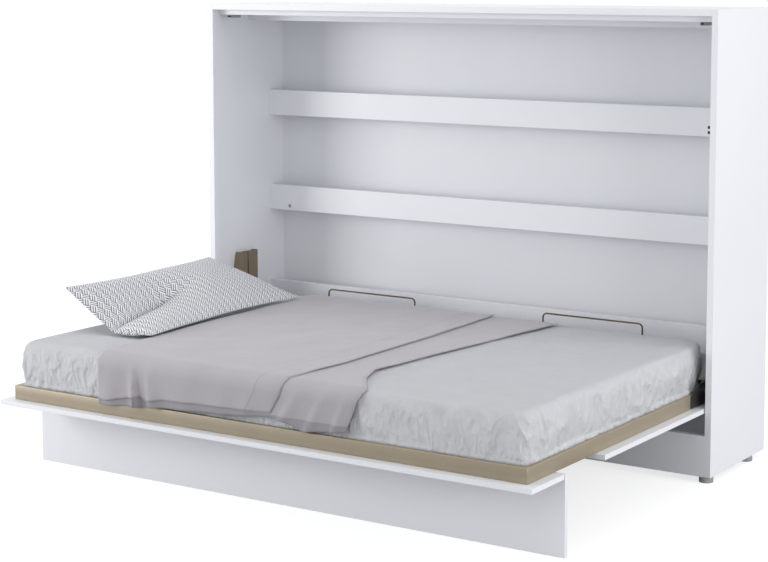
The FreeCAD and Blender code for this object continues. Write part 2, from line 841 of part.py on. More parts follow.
def slats():
    """Sprung slats: boards bent to a shallow arch, their ends held in plastic holders."""
    thick = value("slat_thickness")
    wide = value("slat_width")
    rise = value("slat_rise")
    grip = value("holder_depth - holder_pocket")
    seat = value("frame_top - slat_rise - slat_thickness")
    boards = []
    for start, end in slat_rows().values():
        near = value(start) + grip
        far = value(end) - grip
        middle = (near + far) / 2
        low = [vec(0, near, seat), vec(0, far, seat)]
        corners = low + [vec(0, far, seat + thick), vec(0, near, seat + thick)]
        under = Part.Arc(corners[0], vec(0, middle, seat + rise), corners[1]).toShape()
        over = Part.Arc(corners[2], vec(0, middle, seat + thick + rise), corners[3]).toShape()
        ends = [Part.makeLine(corners[1], corners[2]), Part.makeLine(corners[3], corners[0])]
        profile = Part.Face(Part.Wire([under, ends[0], over, ends[1]]))
        for x in slat_middles():
            board = profile.extrude(vec(wide, 0, 0))
            board.translate(vec(x - wide / 2, 0, 0))
            boards.append(board)
    node(solid("slats", Part.makeCompound(boards)))


def slat_holders():
    """Plastic sockets on the tubes' inner faces, each with a pocket for one slat's end."""
    wall = value("holder_wall")
    wide = value("slat_width") + 2 * wall
    deep = value("holder_depth")
    pocket_depth = value("holder_pocket")
    seat = value("frame_top - slat_rise - slat_thickness")
    pocket_tall = value("slat_thickness") + 1
    tall = pocket_tall + 2 * wall - 1
    holders = []
    for start, end in slat_rows().values():
        for face, inward in ((value(start), 1), (value(end), -1)):
            block_y = face if inward > 0 else face - deep
            pocket_y = face + deep - pocket_depth if inward > 0 else face - deep
            for x in slat_middles():
                block = Part.makeBox(wide, deep, tall, vec(x - wide / 2, block_y, seat - wall))
                low = vec(x - wide / 2 + wall, pocket_y, seat)
                hollow = Part.makeBox(wide - 2 * wall, pocket_depth, pocket_tall, low)
                holders.append(block.cut(hollow))
    node(solid("slat_holders", Part.makeCompound(holders)))


def door_angles():
    """Small steel angles that hold the door boards to the front and rear tubes."""
    angles = []
    seats = {"front": ("frame_front + tube_width", 1), "rear": ("frame_rear - tube_width", -1)}
    for row, (face, inward) in seats.items():
        for count in (-6, -2, 2, 6):
            middle = f"({count} + 0.5) * slat_pitch"
            x = (f"{middle} - angle_width / 2", f"{middle} + angle_width / 2")
            if inward > 0:
                flat_y = (face, f"{face} + angle_leg")
                lean_y = (face, f"{face} + angle_sheet")
            else:
                flat_y = (f"{face} - angle_leg", face)
                lean_y = (f"{face} - angle_sheet", face)
            label = f"{row}_angle_{count + 6}"
            flat = box(label + "_flat", x, flat_y, ("door_top", "door_top + angle_sheet"))
            upright = box(label + "_upright", x, lean_y, ("door_top", "door_top + angle_height"))
            angles.append(fuse(label, [flat, upright]))
    node(group("door_angles", angles))


def bed_arm(name, side):
    """The steel arm bolted outside the side tube, with the pivot's bush hole."""
    arm = body(name + "_arm", (f"{side} * frame_half", "pivot_y", "door_top + arm_lift"))
    outline = sketch(arm, "outline", "YZ_Plane")
    tail = "frame_tail - arm_tail_gap"
    corners = [
        ("-arm_nose", "0"),
        (tail, "0"),
        (tail, "tube_height - arm_lift"),
        ("arm_top_rear", "arm_height"),
        ("-arm_top_front", "arm_height"),
        ("-arm_nose", "tube_height - arm_lift"),
    ]
    polygon(outline, corners)
    pad(arm, outline, "arm_sheet", reverse=side < 0)
    hole = sketch(arm, "bush_hole", "YZ_Plane")
    circle(hole, "0", "pivot_height - door_top - arm_lift", "bush_radius")
    pocket(arm, hole, "arm_sheet", reverse=side > 0)
    return node(arm)


def bushes():
    """Flanged plastic bushes in the arms, which run on the pivot pins."""
    rings = []
    for name, side in SIDES.items():
        at = ("pivot_y", "pivot_height")
        sleeve = crossbar(name + "_sleeve", "bush_radius", side, "frame_half", "arm_face", *at)
        flange_face = "arm_face + bush_flange_thickness"
        wide = "bush_radius + bush_flange"
        flange = crossbar(name + "_flange", wide, side, "arm_face", flange_face, *at)
        bore_radius = "pin_radius + running_clearance"
        bore_ends = ("frame_half - bush_wall", "arm_face + bush_wall")
        bore = crossbar(name + "_bush_bore", bore_radius, side, *bore_ends, *at)
        rings.append(cut(name + "_bush", fuse(name + "_bush_whole", [sleeve, flange]), [bore]))
    node(group("pivot_bushes", rings))


def spring_lower_studs():
    """Short studs on the arms, in line with the gas springs' lower eyes."""
    studs = []
    outer = "spring_plane - spring_eye_width / 2 - stop_clearance"
    for name, side in SIDES.items():
        at = ("spring_foot_y", "spring_foot_z")
        studs.append(crossbar(name + "_lower_stud", "stud_radius", side, "arm_face", outer, *at))
    node(group("spring_lower_studs", studs))


def mattress_stop(name, side):
    """A bent wire behind the mattress that keeps it from sliding when the bed is up."""
    foot = (f"{side} * stop_spread", "frame_rear + stop_wire_radius", "door_top")
    stop = body(name + "_mattress_stop", foot)
    half = value("stop_width / 2 - stop_wire_radius")
    low = value("tube_height / 4")
    high = value("stop_top - stop_wire_radius - door_top")
    bend = value("stop_corner")
    path = sketch(stop, "path", "XZ_Plane")
    diagonal = bend * (1 - math.sqrt(0.5))
    path.addGeometry(Part.LineSegment(vec(-half, low, 0), vec(-half, high - bend, 0)), False)
    left = Part.Arc(
        vec(-half, high - bend, 0),
        vec(-half + diagonal, high - diagonal, 0),
        vec(-half + bend, high, 0),
    )
    path.addGeometry(left, False)
    path.addGeometry(Part.LineSegment(vec(-half + bend, high, 0), vec(half - bend, high, 0)), False)
    right = Part.Arc(
        vec(half - bend, high, 0),
        vec(half - diagonal, high - diagonal, 0),
        vec(half, high - bend, 0),
    )
    path.addGeometry(right, False)
    path.addGeometry(Part.LineSegment(vec(half, high - bend, 0), vec(half, low, 0)), False)
    section = sketch(stop, "section", "XY_Plane")
    section.AttachmentOffset = FreeCAD.Placement(vec(0, 0, low), FreeCAD.Rotation())
    section.setExpression("AttachmentOffset.Base.z", bind("tube_height / 4"))
    circle(section, "-(stop_width / 2 - stop_wire_radius)", "0", "stop_wire_radius")
    pipe = stop.newObject("PartDesign::AdditivePipe", stop.Name + "_wire")
    pipe.Profile = section
    pipe.Spine = path
    return node(stop)


# ---------------------------------------------------------------- leg
LEG_HINGES = {
    "left_outer": "-leg_hinge_outer",
    "left_inner": "-leg_hinge_inner",
    "right_inner": "leg_hinge_inner",
    "right_outer": "leg_hinge_outer",
}


def leg_pins():
    """The pins that the leg turns on, one through each knuckle."""
    pins = []
    for name, x in LEG_HINGES.items():
        start = (f"{x} - leg_pin_length / 2", "leg_pin_y", "leg_pin_z")
        pins.append(cylinder(name + "_pin", "leg_pin_radius", "leg_pin_length", start, "x"))
    return pins


def leg_panel():
    """The leg board: its top rear edge is rounded to clear the tubes, and notched for the knuckles."""
    board = body("leg_board", ("0", "leg_front", "0"))
    outline = sketch(board, "outline", "YZ_Plane")
    corners = [("0", "0"), ("leg_board", "0"), ("leg_board", "leg_top"), ("0", "leg_top")]
    polygon(outline, corners)
    plain = pad(board, outline, "2 * door_half", symmetric=True)
    doc.recompute()
    tall = value("leg_top")
    deep = value("leg_board")
    edges = []
    for index, edge in enumerate(board.Shape.Edges, start=1):
        middle = edge.BoundBox.Center
        along = edge.BoundBox.XLength > edge.BoundBox.YLength + edge.BoundBox.ZLength
        at_corner = abs(middle.z - tall) < 0.01 and abs(middle.y - value("leg_front") - deep) < 0.01
        if along and at_corner:
            edges.append(f"Edge{index}")
    rounding = board.newObject("PartDesign::Fillet", "leg_board_round")
    rounding.Base = (plain, edges)
    rounding.setExpression("Radius", bind("min(leg_edge_round; leg_board / 2)"))
    notches = sketch(board, "notches", "XZ_Plane")
    low = "leg_pin_z - knuckle_radius - knuckle_gap"
    for x in LEG_HINGES.values():
        near = f"{x} - knuckle_width / 2 - knuckle_gap"
        far = f"{x} + knuckle_width / 2 + knuckle_gap"
        polygon(notches, [(near, low), (far, low), (far, "leg_top + 5"), (near, "leg_top + 5")])
    pocket(board, notches, "leg_board", reverse=False)
    node(cut("leg_panel", board, leg_pins()))
    node(group("leg_hinge_pins", leg_pins()))


def leg_brackets():
    """Steel brackets on the front strip, each with a knuckle that hangs into the leg's notch."""
    brackets = []
    for name, x in LEG_HINGES.items():
        label = name + "_bracket"
        plate_x = (f"{x} - leg_bracket_width / 2", f"{x} + leg_bracket_width / 2")
        plate_rear = "leg_pin_y + knuckle_radius"
        plate_y = (f"{plate_rear} - leg_bracket_reach", plate_rear)
        plate_z = ("door_top", "door_top + leg_bracket_sheet")
        web_x = (f"{x} - knuckle_width / 2", f"{x} + knuckle_width / 2")
        web_y = ("leg_pin_y - knuckle_radius", plate_rear)
        start = (web_x[0], "leg_pin_y", "leg_pin_z")
        whole = [
            box(label + "_plate", plate_x, plate_y, plate_z),
            box(label + "_web", web_x, web_y, ("leg_pin_z", "door_top")),
            cylinder(label + "_knuckle", "knuckle_radius", "knuckle_width", start, "x"),
        ]
        bore = cylinder(label + "_bore", "leg_pin_radius + running_clearance", "knuckle_width", start, "x")
        brackets.append(cut(label, fuse(label + "_whole", whole), [bore]))
    node(group("leg_hinge_brackets", brackets))


# ---------------------------------------------------------------- bedding
def rounded_plan(half, near, far, near_round, far_round, height):
    """A level outline: straight sides, with round corners of one radius in front and one behind."""
    turns = [
        (half - far_round, far - far_round, far_round, 0),
        (-half + far_round, far - far_round, far_round, 90),
        (-half + near_round, near + near_round, near_round, 180),
        (half - near_round, near + near_round, near_round, 270),
    ]
    arcs = []
    for x, y, radius, start in turns:
        points = []
        for degrees in (start, start + 45, start + 90):
            angle = math.radians(degrees)
            points.append(vec(x + radius * math.cos(angle), y + radius * math.sin(angle), height))
        arcs.append(Part.Arc(*points).toShape())
    edges = []
    for index, arc in enumerate(arcs):
        after = arcs[(index + 1) % len(arcs)]
        edges.append(arc)
        edges.append(Part.makeLine(arc.Vertexes[-1].Point, after.Vertexes[0].Point))
    return Part.Wire(edges)


def mattress():
    """A loft of level outlines: sides drawn in above and below, a rounded front, a drooping rear."""
    bottom = value("mattress_bottom")
    top = value("mattress_top")
    middle = (bottom + top) / 2
    draw = value("mattress_side_draw")
    round_over = value("mattress_edge_round")
    droop = value("mattress_droop_radius")
    crown = value("pivot_y + mattress_crown_start")
    half_length = value("mattress_half_length")
    front_face = value("frame_front")
    rear_face = value("mattress_rear")
    steps = 4
    heights = [bottom, bottom + draw, middle - draw, middle, middle + draw]
    for step in range(1, steps + 1):
        heights.append(top - round_over * (1 - math.sin(math.pi / 2 * step / steps)))
    outlines = []
    for height in heights:
        side_inset = draw * (2 * (height - middle) / (top - bottom)) ** 2
        rise = max(0, height - (top - round_over))
        front_inset = round_over - math.sqrt(round_over ** 2 - rise ** 2)
        drop = top - height
        droop_rear = crown + math.sqrt(droop ** 2 - (droop - min(drop, droop)) ** 2)
        rear = min(rear_face - side_inset, droop_rear)
        half = half_length - max(side_inset, 0.6 * front_inset)
        near = front_face + max(0.5 * side_inset if rise == 0 else 0, front_inset)
        near_round = value("mattress_front_corner")
        far_round = value("mattress_rear_corner")
        outlines.append(rounded_plan(half, near, rear, near_round, far_round, height))
    node(solid("mattress", Part.makeLoft(outlines, True, True)))


def throw():
    """A folded throw over the mattress: flat on top, over the front edge, and down in soft folds."""
    gap = value("cloth_clearance")
    thick = value("throw_thickness")
    top = value("mattress_top")
    round_over = value("mattress_edge_round")
    droop = value("mattress_droop_radius")
    crown = value("pivot_y + mattress_crown_start")
    edge_y = value("frame_front") + round_over
    edge_z = top - round_over
    hem = value("throw_hem_height")
    flare = value("throw_hem_flare")
    folds = value("throw_folds")
    left = -value("throw_left")
    right = value("throw_right")
    middle_y = (edge_y + crown) / 2
    reach = crown - edge_y
    count = int(4 * folds) + 1
    outlines = []
    for index in range(count):
        share = index / (count - 1)
        x_middle = left + share * (right - left)
        lean = ((1 - share) * -value("throw_left_flare") + share * value("throw_right_flare")) / reach
        rear = (1 - share) * value("throw_rear_left") + share * value("throw_rear_right")
        swing = flare * (0.5 - 0.5 * math.cos(2 * math.pi * folds * share))
        rings = []
        for offset in (gap, gap + thick):
            droop_radius = droop + offset
            reach_angle = math.asin(rear / droop_radius)
            corner = round_over + offset
            fallen = []
            for angle in (reach_angle, reach_angle / 2):
                over = droop_radius * math.cos(angle)
                fallen.append((crown + droop_radius * math.sin(angle), top - droop + over))
            points = fallen + [
                (crown, top + offset),
                (edge_y, top + offset),
                (edge_y - corner * math.sqrt(0.5), edge_z + corner * math.sqrt(0.5)),
                (edge_y - corner, edge_z),
                (edge_y - corner - swing, hem),
            ]
            rings.append([vec(x_middle + lean * (y - middle_y), y, z) for y, z in points])
        inner, outer = rings
        edges = [
            Part.Arc(outer[0], outer[1], outer[2]).toShape(),
            Part.makeLine(outer[2], outer[3]),
            Part.Arc(outer[3], outer[4], outer[5]).toShape(),
            Part.makeLine(outer[5], outer[6]),
            Part.makeLine(outer[6], inner[6]),
            Part.makeLine(inner[6], inner[5]),
            Part.Arc(inner[5], inner[4], inner[3]).toShape(),
            Part.makeLine(inner[3], inner[2]),
            Part.Arc(inner[2], inner[1], inner[0]).toShape(),
            Part.makeLine(inner[0], outer[0]),
        ]
        outlines.append(Part.Wire(edges))
    node(solid("throw", Part.makeLoft(outlines, True, True)))


def pillow():
    """A long cushion along the left end: lens sections from its low seam to its raised outer seam."""
    front = value("front")
    top = value("mattress_top")
    low = top + value("pillow_seam_lift")
    high = top + value("pillow_tilt_rise")
    end = -value("mattress_half_length")
    low_seam = (
        vec(end + value("pillow_front_inner"), front - value("pillow_front_inner_reach"), low),
        vec(end + value("pillow_rear_inner"), front + value("pillow_rear_inner_depth"), low),
    )
    high_seam = (
        vec(end + value("pillow_front_outer"), front - value("pillow_front_outer_reach"), high),
        vec(end + value("pillow_rear_outer"), front - value("pillow_rear_outer_reach"), high),
    )
    steps = 8
    outlines = []
    for step in range(steps + 1):
        share = step / steps
        low = low_seam[0] + (low_seam[1] - low_seam[0]) * share
        high = high_seam[0] + (high_seam[1] - high_seam[0]) * share
        fullness = 1 - (2 * share - 1) ** 4
        middle = (low + high) * 0.5
        outward = (low - high).cross(vec(0, 1, 0)).normalize()
        if outward.z < 0:
            outward = outward * -1
        over = middle + outward * (value("pillow_edge") + value("pillow_top_bulge") * fullness)
        under = middle - outward * (value("pillow_edge") + value("pillow_bottom_bulge") * fullness)
        upper_arc = Part.Arc(low, over, high).toShape()
        lower_arc = Part.Arc(high, under, low).toShape()
        outlines.append(Part.Wire([upper_arc, lower_arc]))
    cushion = Part.makeLoft(outlines, True, False)
    lowest = min(point.z for point in cushion.tessellate(0.1)[0])
    lift = FreeCAD.Matrix()
    lift.move(vec(0, 0, top + value("cloth_clearance") - lowest))
    node(solid("pillow", cushion.transformed(lift, True)))


# ---------------------------------------------------------------- assembly
cabinet_boards()
cam_caps()
back_panels()
wall_brackets()
feet()
latches()
door_buffers()
hinge_screws()
pivot_pins()
spring_upper_studs()
door_boards()
frame_tubes()
slats()
slat_holders()
door_angles()
bushes()
spring_lower_studs()
leg_panel()
leg_brackets()
for side_name, side_sign in SIDES.items():
    side_panel(side_name, side_sign)
    hinge_plate(side_name, side_sign)
    spring_guards(side_name, side_sign)
    gas_spring(side_name, side_sign)
    bed_arm(side_name, side_sign)
    mattress_stop(side_name, side_sign)
mattress()
throw()
pillow()
doc.recompute()

for item in doc.Objects:
    for state in item.State:
        if state in ("Invalid", "Error"):
            raise RuntimeError(f"{item.Label} is {state}")
for item in nodes:
    if item.Shape.isNull() or not item.Shape.isValid() or not item.Shape.Solids:
        raise RuntimeError(item.Label + " has no valid solid")

os.makedirs("parts", exist_ok=True)
for item in nodes:
    item.Shape.exportStep(os.path.join("parts", item.Label + ".step"))
print(len(nodes), "sub-parts")
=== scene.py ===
import json
import math

import bmesh
import bpy
import numpy as np
from bpy.props import FloatProperty, IntProperty, PointerProperty
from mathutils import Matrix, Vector


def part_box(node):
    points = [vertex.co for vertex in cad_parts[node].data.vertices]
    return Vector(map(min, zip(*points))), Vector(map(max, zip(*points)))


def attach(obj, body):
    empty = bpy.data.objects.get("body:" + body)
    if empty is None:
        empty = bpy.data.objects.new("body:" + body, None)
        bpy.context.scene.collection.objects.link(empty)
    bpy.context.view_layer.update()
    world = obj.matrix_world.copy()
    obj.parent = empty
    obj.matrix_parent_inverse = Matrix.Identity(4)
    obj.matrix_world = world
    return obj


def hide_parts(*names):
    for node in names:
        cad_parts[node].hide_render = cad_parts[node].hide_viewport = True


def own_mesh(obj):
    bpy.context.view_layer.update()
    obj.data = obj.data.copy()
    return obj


bl_info = {
    "name": "Cabinet bed",
    "version": (1, 0, 0),
    "blender": (4, 5, 0),
    "location": "View3D > Sidebar > Cabinet bed",
    "description": "Dresses a cabinet bed's boards, steelwork, mattress and bedding around its fixed model",
    "category": "Object",
}

# Metres throughout. The cabinet stands behind the bed: +X right, +Y to the back, +Z up.
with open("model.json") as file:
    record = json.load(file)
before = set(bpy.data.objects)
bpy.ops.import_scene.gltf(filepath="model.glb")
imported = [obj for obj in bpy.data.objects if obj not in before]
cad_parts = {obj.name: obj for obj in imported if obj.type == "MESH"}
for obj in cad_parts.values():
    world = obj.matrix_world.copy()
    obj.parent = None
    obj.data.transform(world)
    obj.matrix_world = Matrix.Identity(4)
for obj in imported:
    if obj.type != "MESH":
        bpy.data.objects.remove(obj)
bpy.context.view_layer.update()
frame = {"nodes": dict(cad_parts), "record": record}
SLOTS = {row["node"]: row["material_slot"] for row in frame["record"]["subparts"]}
BODY_NODES = frame["record"]["behaviour"]["bodies"]
BODIES = {node: body for body, nodes in BODY_NODES.items() for node in nodes}
MATTRESS_LOW, MATTRESS_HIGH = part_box("mattress")
MATTRESS_TOP = MATTRESS_HIGH[2]
CABINET_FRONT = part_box("plinth_board")[0][1]
SHEET_SLOTS = ("white_hardboard", "white_plastic")


# ---------------------------------------------------------------- shader maths
class Value:
    """One output of a shader node. Python arithmetic on it adds Math nodes."""

    def __init__(self, shader, socket):
        self.shader = shader
        self.socket = socket

    def maths(self, operation, *terms):
        return self.shader.node("Math", {"operation": operation}, dict(enumerate(terms)))

    def __add__(self, other):
        return self.maths("ADD", self, other)

    def __sub__(self, other):
        return self.maths("SUBTRACT", self, other)

    def __rsub__(self, other):
        return self.maths("SUBTRACT", other, self)

    def __mul__(self, other):
        return self.maths("MULTIPLY", self, other)

    def __truediv__(self, other):
        return self.maths("DIVIDE", self, other)

    def __abs__(self):
        return self.maths("ABSOLUTE", self)

    def __lt__(self, other):
        return self.maths("LESS_THAN", self, other)

    def __gt__(self, other):
        return self.maths("GREATER_THAN", self, other)

    __radd__ = __add__
    __rmul__ = __mul__

    def floor(self):
        return self.maths("FLOOR", self)

    def fraction(self):
        return self.maths("FRACT", self)

    def sine(self):
        return self.maths("SINE", self)


class Shader:
    """The nodes of one material or of the world."""

    def __init__(self, owner):
        owner.use_nodes = True
        self.owner = owner
        self.tree = owner.node_tree
        self.tree.nodes.clear()

    def node(self, kind, settings=None, inputs=None, output=0):
        """Adds a node: its settings first, then each socket's number, colour or link.
        Gives one output, or a list of them when output is a tuple."""
        made = self.tree.nodes.new("ShaderNode" + kind)
        for name, choice in (settings or {}).items():
            if name == "stops":
                ramp = made.color_ramp
                for index, (place, colour) in enumerate(choice):
                    stop = ramp.elements[index] if index < 2 else ramp.elements.new(place)
                    stop.position = place
                    stop.color = colour
            else:
                setattr(made, name, choice)
        for name, given in (inputs or {}).items():
            if isinstance(given, Value):
                self.tree.links.new(given.socket, made.inputs[name])
            else:
                made.inputs[name].default_value = given
        if isinstance(output, tuple):
            return [Value(self, made.outputs[name]) for name in output]
        return Value(self, made.outputs[output])

    def point(self):
        return self.node("TexCoord", output="Object")

    def turned(self, vector, rotation=(0, 0, 0), scale=(1, 1, 1)):
        return self.node("Mapping", None, {"Vector": vector, "Rotation": rotation, "Scale": scale})

    def axes(self, vector):
        return self.node("SeparateXYZ", None, {0: vector}, output=("X", "Y", "Z"))

    def noise(self, vector, scale, detail=2.0, roughness=0.5):
        return self.node(
            "TexNoise", None, {"Vector": vector, "Scale": scale, "Detail": detail, "Roughness": roughness}
        )

    def mix(self, factor, first, second):
        return self.node("Mix", {"data_type": "RGBA"}, {0: factor, 6: first, 7: second}, output=2)

    def surface(self, colour, roughness, height=None, strength=0.3, depth=0.001, **constants):
        """Ends the material in one Principled shader, with a Bump of the given height in front of it."""
        inputs = {"Base Color": colour, "Roughness": roughness}
        inputs.update({name.replace("_", " "): given for name, given in constants.items()})
        if height is not None:
            bump = {"Height": height, "Strength": strength, "Distance": depth}
            inputs["Normal"] = self.node("Bump", None, bump)
        return self.finish(self.node("BsdfPrincipled", None, inputs))

    def finish(self, shown, kind="OutputMaterial"):
        end = self.tree.nodes.new("ShaderNode" + kind)
        self.tree.links.new(shown.socket, end.inputs["Surface"])
        return self.owner


def shader(name):
    return Shader(bpy.data.materials.new(name))


# ---------------------------------------------------------------- finishes
def board_finish():
    """White melamine-faced board: a faint orange-peel grain, faint clouding, and gloss that varies a little."""
    made = shader("white_melamine")
    point = made.point()
    cloud = made.noise(point, 2.2, 3)
    grain = made.noise(point, 700, 2)
    scuff = made.noise(made.turned(point, scale=(3, 3, 60)), 6, 4)
    colour = made.mix(cloud, (0.775, 0.785, 0.82, 1), (0.815, 0.825, 0.86, 1))
    rough = 0.34 + 0.10 * grain + 0.08 * scuff
    return made.surface(colour, rough, grain, 0.12, 0.0006)


def hardboard_finish():
    """Thin white-faced back sheet: flatter than the boards, with a fine fibre print through its film."""
    made = shader("white_back_sheet")
    point = made.point()
    fibre = made.noise(made.turned(point, scale=(1, 1, 0.25)), 420, 3)
    cloud = made.noise(point, 1.7, 2)
    colour = made.mix(cloud, (0.745, 0.755, 0.79, 1), (0.785, 0.795, 0.83, 1))
    return made.surface(colour, 0.48 + 0.12 * fibre, fibre, 0.15, 0.0005)


def plastic_finish(name, dark, light, rough=0.42):
    """Moulded plastic: spark-eroded grain and slight mottling between two tones."""
    made = shader(name)
    point = made.point()
    grain = made.noise(point, 900, 2)
    mottle = made.noise(point, 35, 3)
    return made.surface(made.mix(mottle, dark, light), rough + 0.12 * grain, grain, 0.25, 0.0004)


def powder_coat(name, dark, light, rough=0.38, metal=0.0):
    """Powder-coated steel: a close orange-peel skin with slight clouding and thin wear towards a darker tone."""
    made = shader(name)
    point = made.point()
    skin = made.noise(point, 520, 2)
    cloud = made.noise(point, 9, 4)
    return made.surface(
        made.mix(cloud, dark, light), rough + 0.14 * skin, skin, 0.22, 0.0006, Metallic=metal, Coat_Weight=0.15
    )


def zinc_finish():
    """Bright zinc plate: crystalline patches of slightly different tone, and fine drawn lines."""
    made = shader("zinc_plate")
    point = made.point()
    patch = made.node("TexVoronoi", None, {"Vector": point, "Scale": 160.0}, output="Color")
    lines = made.noise(made.turned(point, scale=(1, 1, 30)), 60, 3)
    tone = made.mix(0.12, (0.62, 0.63, 0.65, 1), patch)
    colour = made.mix(lines, tone, (0.70, 0.71, 0.73, 1))
    return made.surface(colour, 0.26 + 0.16 * lines, lines, 0.08, 0.0004, Metallic=1.0)


def chrome_finish():
    """Ground and chromed rod: fine rings round it, close and shallow."""
    made = shader("chromed_rod")
    rings = made.noise(made.turned(made.point(), scale=(4, 4, 400)), 8, 2)
    colour = made.mix(rings, (0.72, 0.73, 0.75, 1), (0.82, 0.83, 0.85, 1))
    return made.surface(colour, 0.10 + 0.06 * rings, Metallic=1.0)


def bronze_finish():
    """Bronze-lacquered wire: a dark metallic lacquer, lighter where hands rub it."""
    made = shader("bronze_lacquer")
    point = made.point()
    rub = made.noise(point, 28, 4)
    skin = made.noise(point, 800, 2)
    colour = made.mix(rub, (0.075, 0.056, 0.036, 1), (0.16, 0.12, 0.078, 1))
    return made.surface(colour, 0.30 + 0.15 * rub, skin, 0.15, 0.0003, Metallic=0.75)


def rubber_finish():
    """Black rubber: matt, with a bloom of grey."""
    made = shader("black_buffer_rubber")
    bloom = made.noise(made.point(), 120, 4)
    return made.surface(made.mix(bloom, (0.012, 0.012, 0.013, 1), (0.035, 0.035, 0.036, 1)), 0.75 + 0.1 * bloom)


def beech_finish():
    """Beech plywood slats: long grain across the bed, short dark flecks and a thin lacquer."""
    made = shader("beech_plywood")
    point = made.point()
    grain = made.noise(made.turned(point, scale=(40, 2.2, 40)), 5, 5, 0.6)
    fleck = made.noise(made.turned(point, scale=(500, 60, 500)), 1, 2)
    colour = made.mix(grain, (0.50, 0.33, 0.18, 1), (0.70, 0.51, 0.31, 1))
    colour = made.mix((fleck > 0.66) * 0.35, colour, (0.30, 0.18, 0.09, 1))
    return made.surface(colour, 0.42 + 0.2 * grain, grain, 0.2, 0.0006, Coat_Weight=0.2)


def weave(across, along, pitch):
    """Plain weave's height: one sine across times one along, which rises where a thread is on top."""
    turn = 2 * math.pi / pitch
    return (across * turn).sine() * (along * turn).sine()


def ridges(made, point, rotation, scale, detail):
    """Noise folded over at its middle, so that it stands up in sharp ridges, drawn out along the height."""
    slanted = made.turned(point, rotation=rotation, scale=(1, 1, 0.5))
    return 1 - abs(made.noise(slanted, scale, detail) * 2 - 1) * 2.6


def sheet_finish():
    """Pale grey-blue cotton sheet: a fine weave, slubs both ways, soft crumpling on top and two sizes of sharp
    creases, strong on the sides and faint on top. Its colour carries painted shade: darker in the hollows of the
    crumples and of the larger creases and lighter on their crests, the creases' part only on the sides."""
    made = shader("pale_cotton_sheet")
    point = made.point()
    x, y, z = made.axes(point)
    threads = weave(x + 0.7 * z, y + 0.7 * z, 0.0016)
    slub = made.noise(made.turned(point, scale=(1, 12, 12)), 30, 2)
    slub = slub + made.noise(made.turned(point, scale=(12, 1, 12)), 30, 2)
    crumple = made.noise(point, 14, 5, 0.62)
    folded = ridges(made, point, (0.3, 0.3, 0), 11, 3)
    small = ridges(made, point, (0.4, 0.2, 0), 27, 2)
    side = made.node("MapRange", {"interpolation_type": "SMOOTHSTEP"},
                     {"Value": z, "From Min": MATTRESS_TOP - 0.004, "From Max": MATTRESS_TOP - 0.045})
    # Painted shade and light: darker in crumple and crease hollows, lighter on their crests; the slub part is the
    # cloth's own tone.
    painted_crease_shade_and_slub = 0.5 * crumple + side * 0.35 * folded + 0.15 * slub
    colour = made.mix(painted_crease_shade_and_slub, (0.63, 0.64, 0.67, 1), (0.79, 0.80, 0.83, 1))
    height = crumple * 2.0 + (0.25 + 2.4 * side) * (folded + 0.65 * small) + 0.3 * slub + 0.12 * threads
    return made.surface(colour, 0.85, height, 0.8, 0.006, Sheen_Weight=0.15, Sheen_Roughness=0.5)


def throw_finish():
    """Soft grey brushed throw: a raised nap, faint ribs, a rolled hem, a fine stitched line inside its edge and a
    painted shadow along the lower layer's front hem, where it hangs below the upper layer.
    The cloth's first coordinate is the distance from the nearer free edge, above zero on the upper layer."""
    made = shader("grey_brushed_throw")
    flat = made.node("UVMap", {"uv_map": "cloth"})
    aside, along, _ = made.axes(flat)
    nap = made.noise(flat, 260, 4, 0.7)
    cloud = made.noise(made.turned(flat, scale=(1, 0.5, 1)), 9, 4)
    rib = (aside * (2 * math.pi / 0.005)).sine()
    hem = abs(abs(aside) - 0.013) < 0.0012
    line = abs(aside - 0.105) < 0.0016
    stitches = ((along / 0.006).fraction() < 0.7) * line
    colour = made.mix(0.55 * cloud + 0.45 * nap, (0.355, 0.335, 0.36, 1), (0.45, 0.43, 0.455, 1))
    colour = made.mix(0.6 * stitches + 0.25 * hem, colour, (0.20, 0.195, 0.21, 1))
    # Painted shadow: the lower layer's front hem is darkened where it hangs in the upper layer's shade.
    strip = (along > 1.325) * (aside < 0)
    colour = made.mix(0.45 * strip, colour, (0.17, 0.165, 0.175, 1))
    height = nap + 0.15 * rib - 2.0 * line - 1.5 * hem + 2.5 * cloud
    return made.surface(colour, 0.92, height, 0.55, 0.0018, Sheen_Weight=0.3, Sheen_Roughness=0.4)


def pillow_finish():
    """Basket-weave cloth: squares of white and grey bars that lie one way and then the other, set diagonally."""
    made = shader("basket_weave_cover")
    cloth = made.node("UVMap", {"uv_map": "cloth"})
    flat = made.turned(cloth, rotation=(0, 0, math.radians(45)), scale=(40, 40, 1))
    across, along, _ = made.axes(flat)
    turned = ((across.floor() + along.floor()) / 2).fraction() > 0.25
    bars = (across * 3).fraction() * turned + (along * 3).fraction() * (1 - turned)
    bar = bars > 0.55
    fuzz = made.noise(flat, 9, 3)
    colour = made.mix(bar, (0.82, 0.83, 0.85, 1), (0.11, 0.12, 0.14, 1))
    colour = made.mix(0.18 * fuzz, colour, (0.60, 0.61, 0.63, 1))
    return made.surface(colour, 0.88, fuzz + 0.8 * bar, 0.4, 0.0012, Sheen_Weight=0.2, Sheen_Roughness=0.45)


def shaded_bracket_finish():
    """Powder coat of the spring brackets and covers: the champagne coat darkened to a bronze tone, painted shade
    for parts that sit in shadow inside the cabinet.
    """
    return powder_coat("bracket_coat_painted_shade", (0.19, 0.145, 0.095, 1), (0.25, 0.195, 0.13, 1), 0.36, 0.3)


